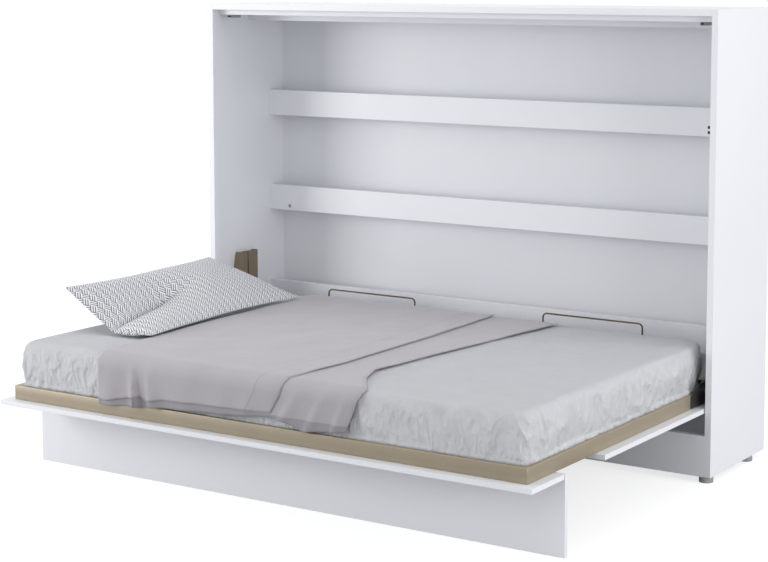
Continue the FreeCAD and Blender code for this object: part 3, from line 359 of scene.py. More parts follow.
FINISHES = {
    "white_board": board_finish,
    "white_hardboard": hardboard_finish,
    "white_plastic": lambda: plastic_finish(
        "white_strip_plastic", (0.74, 0.74, 0.76, 1), (0.80, 0.80, 0.82, 1)
    ),
    "champagne_steel": lambda: powder_coat(
        "champagne_coat", (0.305, 0.255, 0.18, 1), (0.35, 0.295, 0.215, 1), 0.34, 0.25
    ),
    "grey_steel": lambda: powder_coat("grey_coat", (0.34, 0.34, 0.35, 1), (0.42, 0.42, 0.43, 1), 0.40, 0.1),
    "black_steel": lambda: powder_coat("black_coat", (0.018, 0.018, 0.018, 1), (0.04, 0.04, 0.04, 1), 0.36),
    "zinc_steel": zinc_finish,
    "chrome_rod": chrome_finish,
    "bronze_wire": bronze_finish,
    "grey_plastic": lambda: plastic_finish(
        "grey_moulded_plastic", (0.27, 0.275, 0.29, 1), (0.34, 0.345, 0.36, 1), 0.5
    ),
    "black_plastic": lambda: plastic_finish(
        "black_moulded_plastic", (0.02, 0.02, 0.021, 1), (0.045, 0.045, 0.046, 1)
    ),
    "black_rubber": rubber_finish,
    "beech_ply": beech_finish,
    "sheet_fabric": sheet_finish,
    "pillow_fabric": pillow_finish,
    "throw_fabric": throw_finish,
}
made_finishes = {}


def finish_of(slot):
    """A slot's finish, made once and shared by its pieces."""
    if slot not in made_finishes:
        made_finishes[slot] = FINISHES[slot]()
    return made_finishes[slot]


# ---------------------------------------------------------------- surfaces
def grid_quads(rows, columns, closed_rows=False, closed_columns=False):
    """Quads of a grid numbered row by row; a closed direction joins its last line to its first."""
    row, column = np.meshgrid(
        np.arange(rows if closed_rows else rows - 1),
        np.arange(columns if closed_columns else columns - 1),
        indexing="ij",
    )
    next_row = (row + 1) % rows
    next_column = (column + 1) % columns
    corners = [row * columns + column, next_row * columns + column]
    corners += [next_row * columns + next_column, row * columns + next_column]
    return np.stack(corners, axis=-1).reshape(-1, 4)


def new_piece(name, points, quads, slot, body, node, uv=None):
    """Puts points and quads into a mesh, closes its seams, turns its faces outwards and ties it to the frame."""
    mesh = bpy.data.meshes.new(name)
    mesh.from_pydata(points.reshape(-1, 3).tolist(), [], quads.tolist())
    if uv is not None:
        layer = mesh.uv_layers.new(name="cloth")
        corner = np.empty(len(mesh.loops), dtype=np.int64)
        mesh.loops.foreach_get("vertex_index", corner)
        layer.data.foreach_set("uv", uv.reshape(-1, 2)[corner].astype(np.float32).ravel())
    build = bmesh.new()
    build.from_mesh(mesh)
    bmesh.ops.remove_doubles(build, verts=build.verts, dist=1e-5)
    bmesh.ops.dissolve_degenerate(build, edges=build.edges, dist=1e-6)
    bmesh.ops.recalc_face_normals(build, faces=build.faces)
    build.to_mesh(mesh)
    build.free()
    mesh.polygons.foreach_set("use_smooth", np.ones(len(mesh.polygons), dtype=bool))
    piece = bpy.data.objects.new(name, mesh)
    bpy.context.scene.collection.objects.link(piece)
    mesh.materials.append(finish_of(slot))
    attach(piece, body)
    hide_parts(node)
    return piece


LATTICE = 97


def value_noise(x, y, cell, seed):
    """Smooth noise from -1 to 1: seeded heights on a square lattice, blended by a fifth-order smoothstep."""
    table = np.random.default_rng(seed).uniform(-1, 1, (LATTICE, LATTICE))
    across, along = x / cell + 41.3, y / cell + 37.7
    column, row = np.floor(across).astype(int), np.floor(along).astype(int)
    u, v = across - column, along - row
    u = u ** 3 * (u * (u * 6 - 15) + 10)
    v = v ** 3 * (v * (v * 6 - 15) + 10)
    row, column = row % LATTICE, column % LATTICE
    next_row, next_column = (row + 1) % LATTICE, (column + 1) % LATTICE
    low = table[row, column] * (1 - u) + table[row, next_column] * u
    high = table[next_row, column] * (1 - u) + table[next_row, next_column] * u
    return low * (1 - v) + high * v


def creases(x, y, sizes, seed):
    """Creases from 0 to 1: for each size, noise folded over at zero into sharp ridges, on warped lines."""
    warp_x = 0.4 * value_noise(x, y, 3 * sizes[0][0], seed + 1) * sizes[0][0]
    warp_y = 0.4 * value_noise(x, y, 3 * sizes[0][0], seed + 2) * sizes[0][0]
    total = np.zeros_like(x)
    for index, (cell, weight) in enumerate(sizes):
        total += weight * (1 - np.abs(value_noise(x + warp_x, y + warp_y, cell, seed + 10 + index))) ** 2.5
    return total


def smooth(low, high, values):
    """A smoothstep from 0 at low to 1 at high."""
    share = np.clip((values - low) / (high - low), 0, 1)
    return share * share * (3 - 2 * share)


def softened(node, width, finish=None):
    """A copy of a CAD node with merged points, whole flat faces and edges rounded by width, in its slot's finish
    or the one given."""
    source = frame["nodes"][node]
    mesh = source.data.copy()
    mesh.name = node + "_rounded"
    build = bmesh.new()
    build.from_mesh(mesh)
    bmesh.ops.remove_doubles(build, verts=build.verts, dist=2e-6)
    bmesh.ops.dissolve_limit(build, angle_limit=math.radians(0.6), verts=build.verts, edges=build.edges)
    build.to_mesh(mesh)
    build.free()
    mesh.polygons.foreach_set("use_smooth", np.ones(len(mesh.polygons), dtype=bool))
    mesh.set_sharp_from_angle(angle=math.radians(32))
    mesh.materials.clear()
    mesh.materials.append(finish or finish_of(SLOTS[node]))
    piece = bpy.data.objects.new(node + "_rounded", mesh)
    bpy.context.scene.collection.objects.link(piece)
    rounding = piece.modifiers.new("rounded_edges", "BEVEL")
    rounding.width = width
    rounding.segments = 2
    rounding.limit_method = "ANGLE"
    rounding.angle_limit = math.radians(40)
    rounding.harden_normals = True
    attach(piece, BODIES[node])
    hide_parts(node)
    return piece


# ---------------------------------------------------------------- settings
class StageSettings(bpy.types.PropertyGroup):
    floor_tone: FloatProperty(
        name="Floor tone", description="How pale the floor is", default=0.42, min=0, max=1
    )
    sky_light: FloatProperty(
        name="Sky light", description="Strength of the even light all round", default=0.78, min=0
    )
    key_power: FloatProperty(
        name="Key light", description="Power of the soft light at the front left", default=112, unit="POWER"
    )
    side_power: FloatProperty(
        name="Side light", description="Power of the large soft light on the right", default=110, unit="POWER"
    )
    fill_power: FloatProperty(
        name="Fill light", description="Power of the weak soft light at the front right", default=80, unit="POWER"
    )
    top_power: FloatProperty(
        name="Top light", description="Power of the weak soft light over the bed", default=26, unit="POWER"
    )


class BoardSettings(bpy.types.PropertyGroup):
    edge: FloatProperty(
        name="Edge round", description="Radius of the boards' edge banding", default=0.0007, unit="LENGTH"
    )
    sheet_edge: FloatProperty(
        name="Sheet edge", description="Radius on the edges of thin sheets and small parts", default=0.0004,
        unit="LENGTH"
    )


class SteelSettings(bpy.types.PropertyGroup):
    tube_corner: FloatProperty(
        name="Tube corner", description="Corner radius of the bed frame's tubes", default=0.003, unit="LENGTH"
    )
    frame_corner: FloatProperty(
        name="Frame corner", description="Radius of the frame's four corners, seen from above", default=0.008,
        unit="LENGTH"
    )


class MattressSettings(bpy.types.PropertyGroup):
    edge: FloatProperty(
        name="Top edge", description="Radius of the top edge in front", default=0.045, unit="LENGTH"
    )
    front_corner: FloatProperty(
        name="Front corners", description="Radius of the two front corners, seen from above", default=0.035,
        unit="LENGTH"
    )
    rear_corner: FloatProperty(
        name="Rear corners", description="Radius of the two rear corners, seen from above", default=0.23,
        unit="LENGTH"
    )
    crinkle: FloatProperty(
        name="Crinkle depth", description="Depth of the sheet's crinkles on top", default=0.0035, unit="LENGTH"
    )
    side_crease: FloatProperty(
        name="Side creases", description="Depth of the creases in the sheet on the sides", default=0.016,
        unit="LENGTH"
    )


class ThrowSettings(bpy.types.PropertyGroup):
    thickness: FloatProperty(
        name="Thickness", description="Thickness of the cloth", default=0.0025, unit="LENGTH"
    )
    layer_gap: FloatProperty(
        name="Layer gap", description="Distance between the middles of the two layers", default=0.0036,
        unit="LENGTH"
    )


class PillowSettings(bpy.types.PropertyGroup):
    fullness: FloatProperty(
        name="Fullness", description="Height of each side above the seam before it swells", default=0.05,
        unit="LENGTH"
    )
    swell: FloatProperty(
        name="Swell", description="The most that a point may move as it swells", default=0.018, unit="LENGTH"
    )
    steps: IntProperty(name="Steps", description="Steps of the cloth simulation", default=14, min=1)


def settings(name):
    return getattr(bpy.context.scene.cabinet_bed, name)


class CabinetBedSettings(bpy.types.PropertyGroup):
    stage: PointerProperty(type=StageSettings)
    boards: PointerProperty(type=BoardSettings)
    steel: PointerProperty(type=SteelSettings)
    mattress: PointerProperty(type=MattressSettings)
    throw: PointerProperty(type=ThrowSettings)
    pillow: PointerProperty(type=PillowSettings)


# ---------------------------------------------------------------- mattress
# The y behind which the top starts to fall, and the radius of that fall.
CROWN = 0.445
DROOP = 0.395
# Cell and weight of each size of crease, on the top and on the sides.
TOP_CRINKLES = [(0.12, 0.4), (0.055, 0.35), (0.028, 0.25)]
SIDE_CREASES = [(0.11, 0.42), (0.052, 0.36), (0.026, 0.22)]
MATTRESS_FRONT, MATTRESS_REAR = MATTRESS_LOW[1], MATTRESS_HIGH[1]


def droop(y):
    """How far the top lies below its level part: a circle's fall behind the crown."""
    past = np.clip(y - CROWN, 0, DROOP * 0.95)
    return DROOP - np.sqrt(DROOP ** 2 - past ** 2)


def mattress_plan(across, along, inset, form):
    """Maps the unit square onto the outline drawn in by inset. In a corner, each point's vector from the corner's
    centre is scaled by its longer side over its length, which turns square rings into round ones."""
    half = MATTRESS_HIGH[0] - 1.25 * inset
    low, high = MATTRESS_FRONT + inset, MATTRESS_REAR - 0.7 * inset
    x = half * (2 * across - 1)
    y = low + (high - low) * along
    radius = np.where(along < 0.5, form.front_corner, form.rear_corner)
    inner_x = np.clip(x, -half + radius, half - radius)
    inner_y = np.clip(y, low + radius, high - radius)
    gap_x, gap_y = x - inner_x, y - inner_y
    length = np.maximum(np.hypot(gap_x, gap_y), 1e-9)
    scale = np.maximum(np.abs(gap_x), np.abs(gap_y)) / length
    return inner_x + gap_x * scale, inner_y + gap_y * scale


def mattress_surface(form):
    """The top is a grid on the rounded outline that sinks by the droop and the crinkles; rings of its edge then
    follow a quarter circle down, whose radius shrinks towards the back, a side drawn in by a parabola above and
    below and pressed in by creases, and a flat underside that closes to its middle."""
    columns, rows = 300, 208
    bottom, top = MATTRESS_LOW[2], MATTRESS_TOP
    middle, half_height = (bottom + top) / 2, (top - bottom) / 2
    draw = 0.012
    u, v = np.meshgrid(np.linspace(0, 1, columns), np.linspace(0, 1, rows), indexing="xy")
    edge_inset = math.hypot(form.edge, draw)
    x, y = mattress_plan(u, v, edge_inset, form)
    hollow = form.crinkle * (1 - creases(x, y, TOP_CRINKLES, 7)) + 0.0012 * value_noise(x, y, 0.3, 3) + 0.0012
    rim = smooth(0, 0.05, np.minimum(np.minimum(u, 1 - u) * 2, np.minimum(v, 1 - v) * 1.4))
    z = top - droop(y) - hollow * (0.35 + 0.65 * rim)
    points = [np.stack([x, y, z], -1).reshape(-1, 3)]
    quads = [grid_quads(rows, columns)]
    index = np.arange(rows * columns).reshape(rows, columns)
    border = np.concatenate([index[0, :-1], index[:-1, -1], index[-1, :0:-1], index[:0:-1, 0]])
    ring_u, ring_v = u.ravel()[border], v.ravel()[border]
    count = len(border)
    run = np.cumsum(np.hypot(np.diff(x.ravel()[border], prepend=x.ravel()[border][-1]),
                             np.diff(y.ravel()[border], prepend=y.ravel()[border][-1])))
    rings = []
    turns = [("edge", share) for share in np.linspace(0, 1, 10)[1:]]
    turns += [("side", share) for share in np.linspace(0, 1, 16)[1:]]
    for part, share in turns:
        ring_y = mattress_plan(ring_u, ring_v, 0.0, form)[1]
        rounding = form.edge * (1 - 0.3 * smooth(-0.4, 0.3, ring_y))
        upper = top - droop(ring_y)
        if part == "edge":
            angle = share * math.pi / 2
            inset_round = rounding * (1 - math.sin(angle))
            height = upper - rounding * (1 - math.cos(angle))
        else:
            inset_round = np.zeros(count)
            height = (upper - rounding) * (1 - share) + bottom * share
        drawn = draw * ((height - middle) / half_height) ** 2
        inset = np.hypot(inset_round, drawn)
        slant = run + 0.35 * (height - bottom) * np.sign(ring_u - 0.5)
        crease = 1 - creases(slant, height * 0.42, SIDE_CREASES, 23)
        fade = smooth(0, 1.0, np.array(share if part == "edge" else 1.0)) * smooth(0, 0.012, height - bottom)
        inset = inset + form.side_crease * crease * fade
        ring_x, ring_y = mattress_plan(ring_u, ring_v, inset, form)
        rings.append(np.stack([ring_x, ring_y, height], -1))
    for shrink in (0.97, 0.8, 0.4, 0.0):
        centre = np.array([0, (MATTRESS_FRONT + MATTRESS_REAR) / 2, bottom])
        rings.append(centre + (rings[len(turns) - 1] - centre) * shrink)
    points.append(np.concatenate(rings))
    start = rows * columns
    around = np.arange(count)
    first = np.stack([border, np.roll(border, -1), start + (around + 1) % count, start + around], -1)
    quads.append(first)
    quads.append(grid_quads(len(rings), count, closed_columns=True) + start)
    return np.concatenate(points), np.concatenate(quads)


# ---------------------------------------------------------------- throw
def lines_across(travel, lines):
    """x of each long line of the throw at a distance along it, straight between the places measured."""
    return [np.interp(travel, *zip(*line)) for line in lines]


# Each long line of the throw: distance along it from the crown, and x.
THROW_LEFT = [(-0.20, -0.655), (0.035, -0.664), (0.6, -0.64), (1.215, -0.609), (1.365, -0.604)]
THROW_DARK = [(-0.20, 0.105), (0.0, 0.150), (0.423, 0.166), (0.941, 0.170), (1.186, 0.145), (1.259, 0.128),
              (1.323, 0.089), (1.365, 0.062)]
THROW_RIGHT = [(-0.20, 0.440), (-0.052, 0.413), (0.577, 0.340), (0.965, 0.301), (1.08, 0.345), (1.20, 0.430),
               (1.29, 0.396), (1.365, 0.362)]
# Distance along the cloth from the crown to where it turns down round the mattress's front edge.
EDGE_TRAVEL = 1.186
# Each layer's rear and front hem: x, and distance along the cloth.
UPPER_REAR = ([-0.66, -0.36, 0.0, 0.12], [-0.075, -0.078, -0.066, -0.064])
LOWER_REAR = ([-0.66, 0.085, 0.323, 0.413], [-0.07, -0.055, -0.050, -0.030])
UPPER_HEM = ([-0.6, -0.437, -0.414, -0.334, -0.178, 0.15], [1.361, 1.333, 1.346, 1.333, 1.328, 1.320])
LOWER_HEM = (
    [-0.6, -0.349, -0.215, -0.062, 0.065, 0.132, 0.211, 0.339, 0.40],
    [1.378, 1.359, 1.352, 1.344, 1.334, 1.340, 1.362, 1.347, 1.344],
)
# The fold's rough x, and each layer's width from it.
FOLD_X = -0.64
UPPER_WIDTH, LOWER_WIDTH = 0.80, 1.01


def throw_point(x, travel, lift):
    """A point of the cloth: level from the crown to the front edge, down the droop behind the crown, round the
    mattress's front edge on a quarter circle and then straight down, always lift above the mattress."""
    form = settings("mattress")
    edge = form.edge
    quarter = edge * math.pi / 2
    back = np.clip(-travel, 0, None) / DROOP
    turn = np.clip((travel - EDGE_TRAVEL) / quarter, 0, 1) * math.pi / 2
    fall = np.clip(travel - EDGE_TRAVEL - quarter, 0, None)
    level = np.clip(travel, 0, EDGE_TRAVEL)
    y = CROWN + (DROOP + lift) * np.sin(back) - level - (edge + lift) * np.sin(turn)
    z = MATTRESS_TOP - DROOP + (DROOP + lift) * np.cos(back) - (edge + lift) * (1 - np.cos(turn)) - fall
    return np.stack([x, y, z], -1)


def throw_surface():
    """One cloth folded double at its left edge: columns run from the lower layer's free edge to the fold, round it
    and back to the upper layer's edge; rows run from the rear hem to the front one."""
    form = settings("throw")
    rows = 190
    lower, turn, upper = 112, 5, 84
    share = np.concatenate([np.linspace(1, 0, lower), np.zeros(turn), np.linspace(0, 1, upper)])
    layer = np.concatenate([np.zeros(lower), np.linspace(0, 1, turn + 2)[1:-1], np.ones(upper)])
    down = np.linspace(0, 1, rows)[:, None]
    share, layer, down = np.broadcast_arrays(share[None, :], layer[None, :], down)
    on_top = layer > 0.5
    rough_x = FOLD_X + share * np.where(on_top, UPPER_WIDTH, LOWER_WIDTH)
    rear = np.where(on_top, np.interp(rough_x, *UPPER_REAR), np.interp(rough_x, *LOWER_REAR))
    hem = np.where(on_top, np.interp(rough_x, *UPPER_HEM), np.interp(rough_x, *LOWER_HEM))
    travel = rear + (hem - rear) * down
    left, dark, right = lines_across(travel, (THROW_LEFT, THROW_DARK, THROW_RIGHT))
    x = left + share * (np.where(on_top, dark, right) - left)
    x = x - 0.0032 * np.sin(math.pi * layer)
    ripple = 0.0015 * (1 + value_noise(x, travel, 0.13, 31)) + 0.0008 * (1 + value_noise(x, travel, 0.05, 32))
    level = 1 - smooth(1.05, 1.16, travel)
    lift = 0.0017 + form.layer_gap * layer + ripple * (0.5 + 0.5 * layer) * level
    edge_roll = smooth(0.975, 0.99, share) * 0.0016 * level
    points = throw_point(x, travel, lift + edge_roll)
    hang = smooth(EDGE_TRAVEL + 0.01, 1.37, travel)
    swing = np.zeros_like(x)
    for place, lean, width_left, width_right, depth in DRAPE_FOLDS:
        aside = x - place - lean * (travel - EDGE_TRAVEL)
        swing += depth * np.exp(-((aside / np.where(aside < 0, width_left, width_right)) ** 2))
    points[..., 1] -= hang * swing
    from_edge = np.where(on_top, (1 - share) * UPPER_WIDTH, (share - 1) * LOWER_WIDTH - 0.001)
    uv = np.stack([from_edge, travel], -1)
    return points, grid_quads(rows, points.shape[1]), uv


# Place, lean, width on the left and on the right flank, and depth of each fold in the hanging part.
DRAPE_FOLDS = [
    (-0.462, 0.10, 0.022, 0.006, 0.027), (-0.405, 0.12, 0.012, 0.030, 0.018), (-0.56, 0.0, 0.04, 0.03, 0.010),
    (-0.27, 0.10, 0.05, 0.05, 0.008), (-0.10, 0.0, 0.06, 0.05, 0.008), (0.03, -0.25, 0.04, 0.03, 0.009),
    (0.225, -0.62, 0.012, 0.030, 0.013), (0.315, -0.50, 0.012, 0.026, 0.011), (0.395, -0.40, 0.012, 0.018, 0.014),
]


# ---------------------------------------------------------------- pillow
PILLOW_LOW = np.array([[-0.607, -0.880, 0.469], [-0.640, 0.015, 0.469]]) + [0, CABINET_FRONT, 0]
PILLOW_HIGH = np.array([[-0.995, -0.890, 0.602], [-1.010, -0.068, 0.604]]) + [0, CABINET_FRONT, 0]
PILLOW_WIDTH, PILLOW_LENGTH = 0.405, 0.93


def crease_at(u, v):
    """Place across the pillow of the crease that starts in the near end's seam, and how strong it still is."""
    return np.interp(v, [0, 0.24, 0.38, 0.57], [0.44, 0.53, 0.56, 0.53]), 1 - smooth(0.28, 0.64, v)


def pillow_surface(form):
    """Two skins between the four corners. The middle surface is flat but for the crease, where it is bent down
    by a tent function; each skin rises from it by a blunt sine along, times a blunt sine across that parts into
    two, one on each side of the crease, where the crease is strong. There the upper skin's first lobe also leans
    to the left."""
    across, along = 72, 132
    u, v = np.meshgrid(np.linspace(0, 1, across), np.linspace(0, 1, along), indexing="xy")
    pull, straight_width = 0.018, 0.40
    bow_u, bow_v = 4 * v * (1 - v), 4 * u * (1 - u)
    shared_u = u + (0.5 - u) * 2 * pull / straight_width * bow_u
    shared_v = v + (0.5 - v) * 2 * pull / PILLOW_LENGTH * bow_v * smooth(0.0, 0.3, v)
    su, sv = shared_u[..., None], shared_v[..., None]
    low = PILLOW_LOW[0] * (1 - sv) + PILLOW_LOW[1] * sv
    high = PILLOW_HIGH[0] * (1 - sv) + PILLOW_HIGH[1] * sv
    base = low * (1 - su) + high * su
    crease, strength = crease_at(u, v)
    steepness = np.where(u < crease, 1, 1 + 1.2 * smooth(0, 0.15, v))
    tent = np.where(u < crease, u / crease, (1 - u) / (1 - crease)) ** steepness
    base[..., 2] -= 0.066 * strength * tent
    normal = np.cross(PILLOW_LOW[1] - PILLOW_LOW[0], PILLOW_HIGH[0] - PILLOW_LOW[0])
    normal *= np.sign(normal[2]) / np.linalg.norm(normal)
    whole = np.sin(math.pi * u) ** 0.62
    near_lobe = np.sin(math.pi * np.clip(u / crease, 0, 1) ** 1.3) ** 0.5
    far_lobe = 0.45 * np.sin(math.pi * np.clip((u - crease) / (1 - crease), 0, 1)) ** 0.9
    lobes = np.where(u < crease, near_lobe, far_lobe)
    rise = form.fullness * (whole * (1 - strength) + lobes * strength) * np.sin(math.pi * v) ** 0.45
    over = base + normal * rise[..., None]
    lean = 0.022 * strength * np.where(u < crease, (u / crease) ** 2 * near_lobe, 0)
    over[..., 0] -= lean * smooth(0, 0.05, v)
    under = base - normal * 0.85 * rise[..., None]
    uv = np.stack([u * PILLOW_WIDTH, v * PILLOW_LENGTH], -1).reshape(-1, 2)
    quads = grid_quads(along, across)
    points = np.concatenate([over.reshape(-1, 3), under.reshape(-1, 3)])
    return points, np.concatenate([quads, quads[:, ::-1] + u.size]), np.concatenate([uv, uv])


def points_of(mesh):
    """A mesh's points, one to a row."""
    points = np.empty(len(mesh.vertices) * 3)
    mesh.vertices.foreach_get("co", points)
    return points.reshape(-1, 3)


def move_points(mesh, points):
    """Puts a mesh's points at the rows given."""
    mesh.vertices.foreach_set("co", points.ravel())
    mesh.update()


def held_crease(piece):
    """A vertex group of the seams and of the points close to the crease, which stay put while the rest swells."""
    group = piece.vertex_groups.new(name="crease")
    count = len(piece.data.vertices)
    flat = np.zeros((count, 2))
    corner = np.empty(len(piece.data.loops), dtype=np.int64)
    piece.data.loops.foreach_get("vertex_index", corner)
    spread = np.empty(len(corner) * 2, dtype=np.float32)
    piece.data.uv_layers["cloth"].data.foreach_get("uv", spread)
    flat[corner] = spread.reshape(-1, 2)
    aside, down = flat[:, 0], flat[:, 1]
    crease, strength = crease_at(aside / PILLOW_WIDTH, down / PILLOW_LENGTH)
    crease_reach, seam_reach = 0.012, 0.001
    weight = strength * np.exp(-(((aside / PILLOW_WIDTH - crease) * PILLOW_WIDTH / crease_reach) ** 2))
    rim = np.minimum(np.minimum(aside, PILLOW_WIDTH - aside), np.minimum(down, PILLOW_LENGTH - down))
    weight = np.where(rim < seam_reach, 1, weight)
    for index in np.flatnonzero(weight > 0.05):
        group.add([int(index)], float(weight[index]), "REPLACE")
    return group


def swollen(piece, form):
    """Blows the cover up by Cloth with pressure and no gravity, caps each point's travel and bakes the result."""
    before = points_of(piece.data)
    cloth = piece.modifiers.new("cover", "CLOTH")
    cloth.settings.quality = 5
    cloth.settings.mass = 0.3
    cloth.settings.tension_stiffness = 20
    cloth.settings.compression_stiffness = 20
    cloth.settings.shear_stiffness = 8
    cloth.settings.bending_stiffness = 0.6
    cloth.settings.use_pressure = True
    cloth.settings.uniform_pressure_force = 4
    cloth.settings.effector_weights.gravity = 0
    cloth.settings.vertex_group_mass = held_crease(piece).name
    scene = bpy.context.scene
    cloth.point_cache.frame_start = 1
    cloth.point_cache.frame_end = form.steps
    for step in range(1, form.steps + 1):
        scene.frame_set(step)
    after = points_of(piece.evaluated_get(bpy.context.evaluated_depsgraph_get()).data)
    piece.modifiers.remove(cloth)
    scene.frame_set(1)
    move = after - before
    far = np.maximum(np.linalg.norm(move, axis=1, keepdims=True), 1e-9)
    move_points(piece.data, before + move * np.minimum(1, form.swell / far))


def settled(piece):
    """Keeps every point on or above the mattress, and above the throw where that lies under it."""
    points = points_of(piece.data)
    ground = MATTRESS_TOP + 0.001 + 0.0115 * smooth(-0.690, -0.665, points[:, 0])
    points[:, 2] = np.maximum(points[:, 2], ground)
    move_points(piece.data, points)


# ---------------------------------------------------------------- operators
class Piece:
    """Shared by the operators: build() does the work, and any fault in it is raised."""

    bl_options = {"REGISTER", "UNDO"}

    def execute(self, context):
        self.build(context)
        return {"FINISHED"}


class CABINET_BED_OT_stage(Piece, bpy.types.Operator):
    """Make the camera, the pale floor and the soft light"""

    bl_idname = "cabinet_bed.stage"
    bl_label = "Stage"

    def build(self, context):
        form = settings("stage")
        scene = context.scene
        scene.view_settings.view_transform = "Standard"
        lens = bpy.data.cameras.new("camera")
        lens.lens = 88.673
        lens.sensor_width = 36
        lens.shift_x = -0.0169
        lens.shift_y = -0.1347
        camera = bpy.data.objects.new("camera", lens)
        camera.location = (3.5393, -5.3661, 1.6949)
        camera.rotation_euler = (math.radians(90 - 6.2), 0, math.radians(33.083))
        scene.collection.objects.link(camera)
        scene.camera = camera
        world = Shader(bpy.data.worlds.new("soft_room"))
        scene.world = world.owner
        rays = ("Is Camera Ray", "Is Glossy Ray", "Is Transmission Ray")
        seen, glossy, through = world.node("LightPath", output=rays)
        white = world.node("Background", None, {"Color": (1, 1, 1, 1), "Strength": 1.0})
        light = world.node("Background", None, {"Color": (0.97, 0.98, 1, 1), "Strength": form.sky_light})
        either = seen.maths("MAXIMUM", seen, glossy.maths("MAXIMUM", glossy, through))
        world.finish(world.node("MixShader", None, {0: either, 1: light, 2: white}), "OutputWorld")
        floor_paint = shader("pale_floor")
        seen = floor_paint.node("LightPath", output="Is Camera Ray")
        speck = floor_paint.noise(floor_paint.point(), 90, 2)
        tone = form.floor_tone
        colour = floor_paint.mix(speck, (tone, tone, tone, 1), (tone + 0.01, tone + 0.01, tone + 0.01, 1))
        matt = floor_paint.node("BsdfDiffuse", None, {"Color": colour})
        lift = floor_paint.node("Emission", None, {"Color": (1, 1, 1, 1), "Strength": 0.72})
        both = floor_paint.node("AddShader", None, {0: matt, 1: lift})
        floor_paint.finish(floor_paint.node("MixShader", None, {0: seen, 1: matt, 2: both}))
        mesh = bpy.data.meshes.new("floor")
        side = 40
        corners = [(-side, -side, 0), (side, -side, 0), (side, side, 0), (-side, side, 0)]
        mesh.from_pydata(corners, [], [(0, 1, 2, 3)])
        mesh.materials.append(floor_paint.owner)
        floor = bpy.data.objects.new("floor", mesh)
        scene.collection.objects.link(floor)
        for name, place, target, size, power in (
            ("key_light", (-3.8, -3.35, 1.35), (0.1, 0.3, 0.9), 2.3, form.key_power),
            ("fill_light", (6.0, -2.6, 1.2), (0.0, 0.3, 0.7), 2.4, form.fill_power),
            ("top_light", (-1.4, 0.1, 4.2), (-0.5, -0.2, 0.4), 2.5, form.top_power),
            ("side_light", (6.2, 0.6, 2.6), (0.9, 0.2, 0.7), 3.0, form.side_power),
        ):
            lamp = bpy.data.lights.new(name, "AREA")
            lamp.energy = power
            lamp.size = size
            holder = bpy.data.objects.new(name, lamp)
            holder.location = place
            aim = Vector(target) - Vector(place)
            holder.rotation_euler = aim.to_track_quat("-Z", "Y").to_euler()
            scene.collection.objects.link(holder)


class CABINET_BED_OT_carcass(Piece, bpy.types.Operator):
    """Round the edges of the cabinet's boards and give them their white faces"""

    bl_idname = "cabinet_bed.carcass"
    bl_label = "Cabinet boards"

    def build(self, context):
        form = settings("boards")
        for node in BODY_NODES["cabinet"]:
            if SLOTS[node] == "white_board":
                softened(node, form.edge)
            elif SLOTS[node] in SHEET_SLOTS:
                softened(node, form.sheet_edge)


class CABINET_BED_OT_fittings(Piece, bpy.types.Operator):
    """Round and finish the feet, brackets, latches, hinge plates, buffers and screws"""

    bl_idname = "cabinet_bed.fittings"
    bl_label = "Cabinet fittings"

    def build(self, context):
        form = settings("boards")
        # Spring brackets and covers get a darkened coat: painted shade for their place in shadow beside the bed.
        painted_shade_coat = shaded_bracket_finish()
        for node in BODY_NODES["cabinet"]:
            if SLOTS[node] not in ("white_board", *SHEET_SLOTS):
                guards_spring = node.endswith(("spring_bracket", "spring_cover"))
                softened(node, form.sheet_edge, painted_shade_coat if guards_spring else None)


class CABINET_BED_OT_door(Piece, bpy.types.Operator):
    """Round the edges of the door boards and the leg panel"""

    bl_idname = "cabinet_bed.door"
    bl_label = "Door and leg"

    def build(self, context):
        form = settings("boards")
        for node in ("door_front_strip", "door_main_panel", "leg_panel"):
            softened(node, form.edge)
        for node in ("door_angles", "leg_hinge_brackets", "leg_hinge_pins"):
            softened(node, form.sheet_edge)


def rounded_path(half_x, low_y, high_y, radius, steps=7):
    """A closed rectangle in plan with round corners, walked anticlockwise from the front right corner."""
    angle = np.linspace(0, math.pi / 2, steps)
    corners = []
    for index, (x, y) in enumerate(((half_x, low_y), (half_x, high_y), (-half_x, high_y), (-half_x, low_y))):
        centre_x, centre_y = x - math.copysign(radius, x), y - (radius if index in (1, 2) else -radius)
        turn = angle + (index - 1) * math.pi / 2
        corners.append(np.stack([centre_x + radius * np.cos(turn), centre_y + radius * np.sin(turn)], -1))
    return np.concatenate(corners)


def frame_ring():
    """The welded frame: a tube's section, a rectangle with round corners, carried round the mitred outline. A point
    of the section at some depth inside the outline follows the same rounded rectangle drawn in by that depth."""
    form = settings("steel")
    low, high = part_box("frame_front_tube")
    near, far = low[1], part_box("frame_rear_tube")[1][1]
    depth, tall = high[1] - low[1], high[2] - low[2]
    section = rounded_path(depth / 2, -tall / 2, tall / 2, form.tube_corner, 4)
    rings = []
    for inward, up in section:
        inset = depth / 2 - inward
        path = rounded_path(high[0] - inset, near + inset, far - inset, max(form.frame_corner - inset, 1e-4))
        rings.append(np.column_stack([path, np.full(len(path), low[2] + tall / 2 + up)]))
    points = np.array(rings)
    return points, grid_quads(*points.shape[:2], closed_rows=True, closed_columns=True)


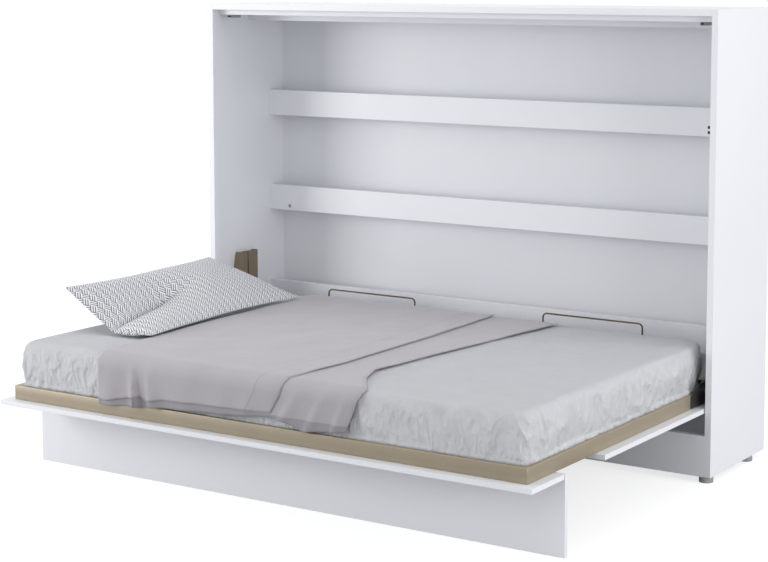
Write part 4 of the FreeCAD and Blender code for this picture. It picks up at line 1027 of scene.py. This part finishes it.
class CABINET_BED_OT_frame(Piece, bpy.types.Operator):
    """Round the corners of the frame's tubes and finish the slats, arms and mattress stops"""

    bl_idname = "cabinet_bed.frame"
    bl_label = "Bed frame"

    def build(self, context):
        corner = settings("steel").tube_corner
        points, quads = frame_ring()
        ring = new_piece("frame_ring", points, quads, "champagne_steel", "bed", "frame_front_tube")
        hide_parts("frame_front_tube", "frame_rear_tube", "frame_left_tube", "frame_right_tube")
        ring.data.set_sharp_from_angle(angle=math.radians(35))
        for node in ("frame_centre_beam", "frame_cross_tubes"):
            softened(node, corner)
        softened("slats", 0.0015)
        for node in ("slat_holders", "left_arm", "right_arm", "pivot_bushes", "left_mattress_stop",
                     "right_mattress_stop"):
            softened(node, settings("boards").sheet_edge)


class CABINET_BED_OT_springs(Piece, bpy.types.Operator):
    """Finish the gas springs, their studs and the latch plungers"""

    bl_idname = "cabinet_bed.springs"
    bl_label = "Gas springs"

    def build(self, context):
        nodes = ["spring_lower_studs"]
        for side in ("left", "right"):
            nodes += [side + part for part in ("_spring_tube", "_spring_rod", "_latch_plunger")]
        for node in nodes:
            softened(node, settings("boards").sheet_edge)


class CABINET_BED_OT_mattress(Piece, bpy.types.Operator):
    """Make the mattress in its crinkled sheet"""

    bl_idname = "cabinet_bed.mattress"
    bl_label = "Mattress"

    def build(self, context):
        points, quads = mattress_surface(settings("mattress"))
        piece = new_piece("mattress_cover", points, quads, "sheet_fabric", "bed", "mattress")


class CABINET_BED_OT_throw(Piece, bpy.types.Operator):
    """Fold and drape the grey throw"""

    bl_idname = "cabinet_bed.throw"
    bl_label = "Throw"

    def build(self, context):
        form = settings("throw")
        points, quads, uv = throw_surface()
        piece = new_piece("folded_throw", points, quads, "throw_fabric", "bed", "throw", uv)
        cloth = piece.modifiers.new("cloth", "SOLIDIFY")
        cloth.thickness = form.thickness
        cloth.offset = 0


class CABINET_BED_OT_pillow(Piece, bpy.types.Operator):
    """Sew, swell and crease the long pillow"""

    bl_idname = "cabinet_bed.pillow"
    bl_label = "Pillow"

    def build(self, context):
        form = settings("pillow")
        points, quads, uv = pillow_surface(form)
        piece = new_piece("long_pillow", points, quads, "pillow_fabric", "bed", "pillow", uv)
        swollen(piece, form)
        settled(piece)
        round_off = piece.modifiers.new("rounded", "SUBSURF")
        round_off.levels = 1
        round_off.render_levels = 1
        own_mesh(piece)


class CABINET_BED_PT_pieces(bpy.types.Panel):
    """The cabinet bed's pieces, in the order in which they are made"""

    bl_label = "Cabinet bed"
    bl_space_type = "VIEW_3D"
    bl_region_type = "UI"
    bl_category = "Cabinet bed"

    def draw(self, context):
        for operator in OPERATORS:
            self.layout.operator(operator.bl_idname)


OPERATORS = (
    CABINET_BED_OT_stage,
    CABINET_BED_OT_carcass,
    CABINET_BED_OT_fittings,
    CABINET_BED_OT_door,
    CABINET_BED_OT_frame,
    CABINET_BED_OT_springs,
    CABINET_BED_OT_mattress,
    CABINET_BED_OT_throw,
    CABINET_BED_OT_pillow,
)
CLASSES = (
    StageSettings,
    BoardSettings,
    SteelSettings,
    MattressSettings,
    ThrowSettings,
    PillowSettings,
    CabinetBedSettings,
    *OPERATORS,
    CABINET_BED_PT_pieces,
)


def register():
    for kind in CLASSES:
        bpy.utils.register_class(kind)
    bpy.types.Scene.cabinet_bed = PointerProperty(type=CabinetBedSettings)


def unregister():
    del bpy.types.Scene.cabinet_bed
    for kind in reversed(CLASSES):
        bpy.utils.unregister_class(kind)


def main():
    register()
    for operator in OPERATORS:
        group, name = operator.bl_idname.split(".")
        getattr(getattr(bpy.ops, group), name)()


if __name__ == "__main__":
    main()
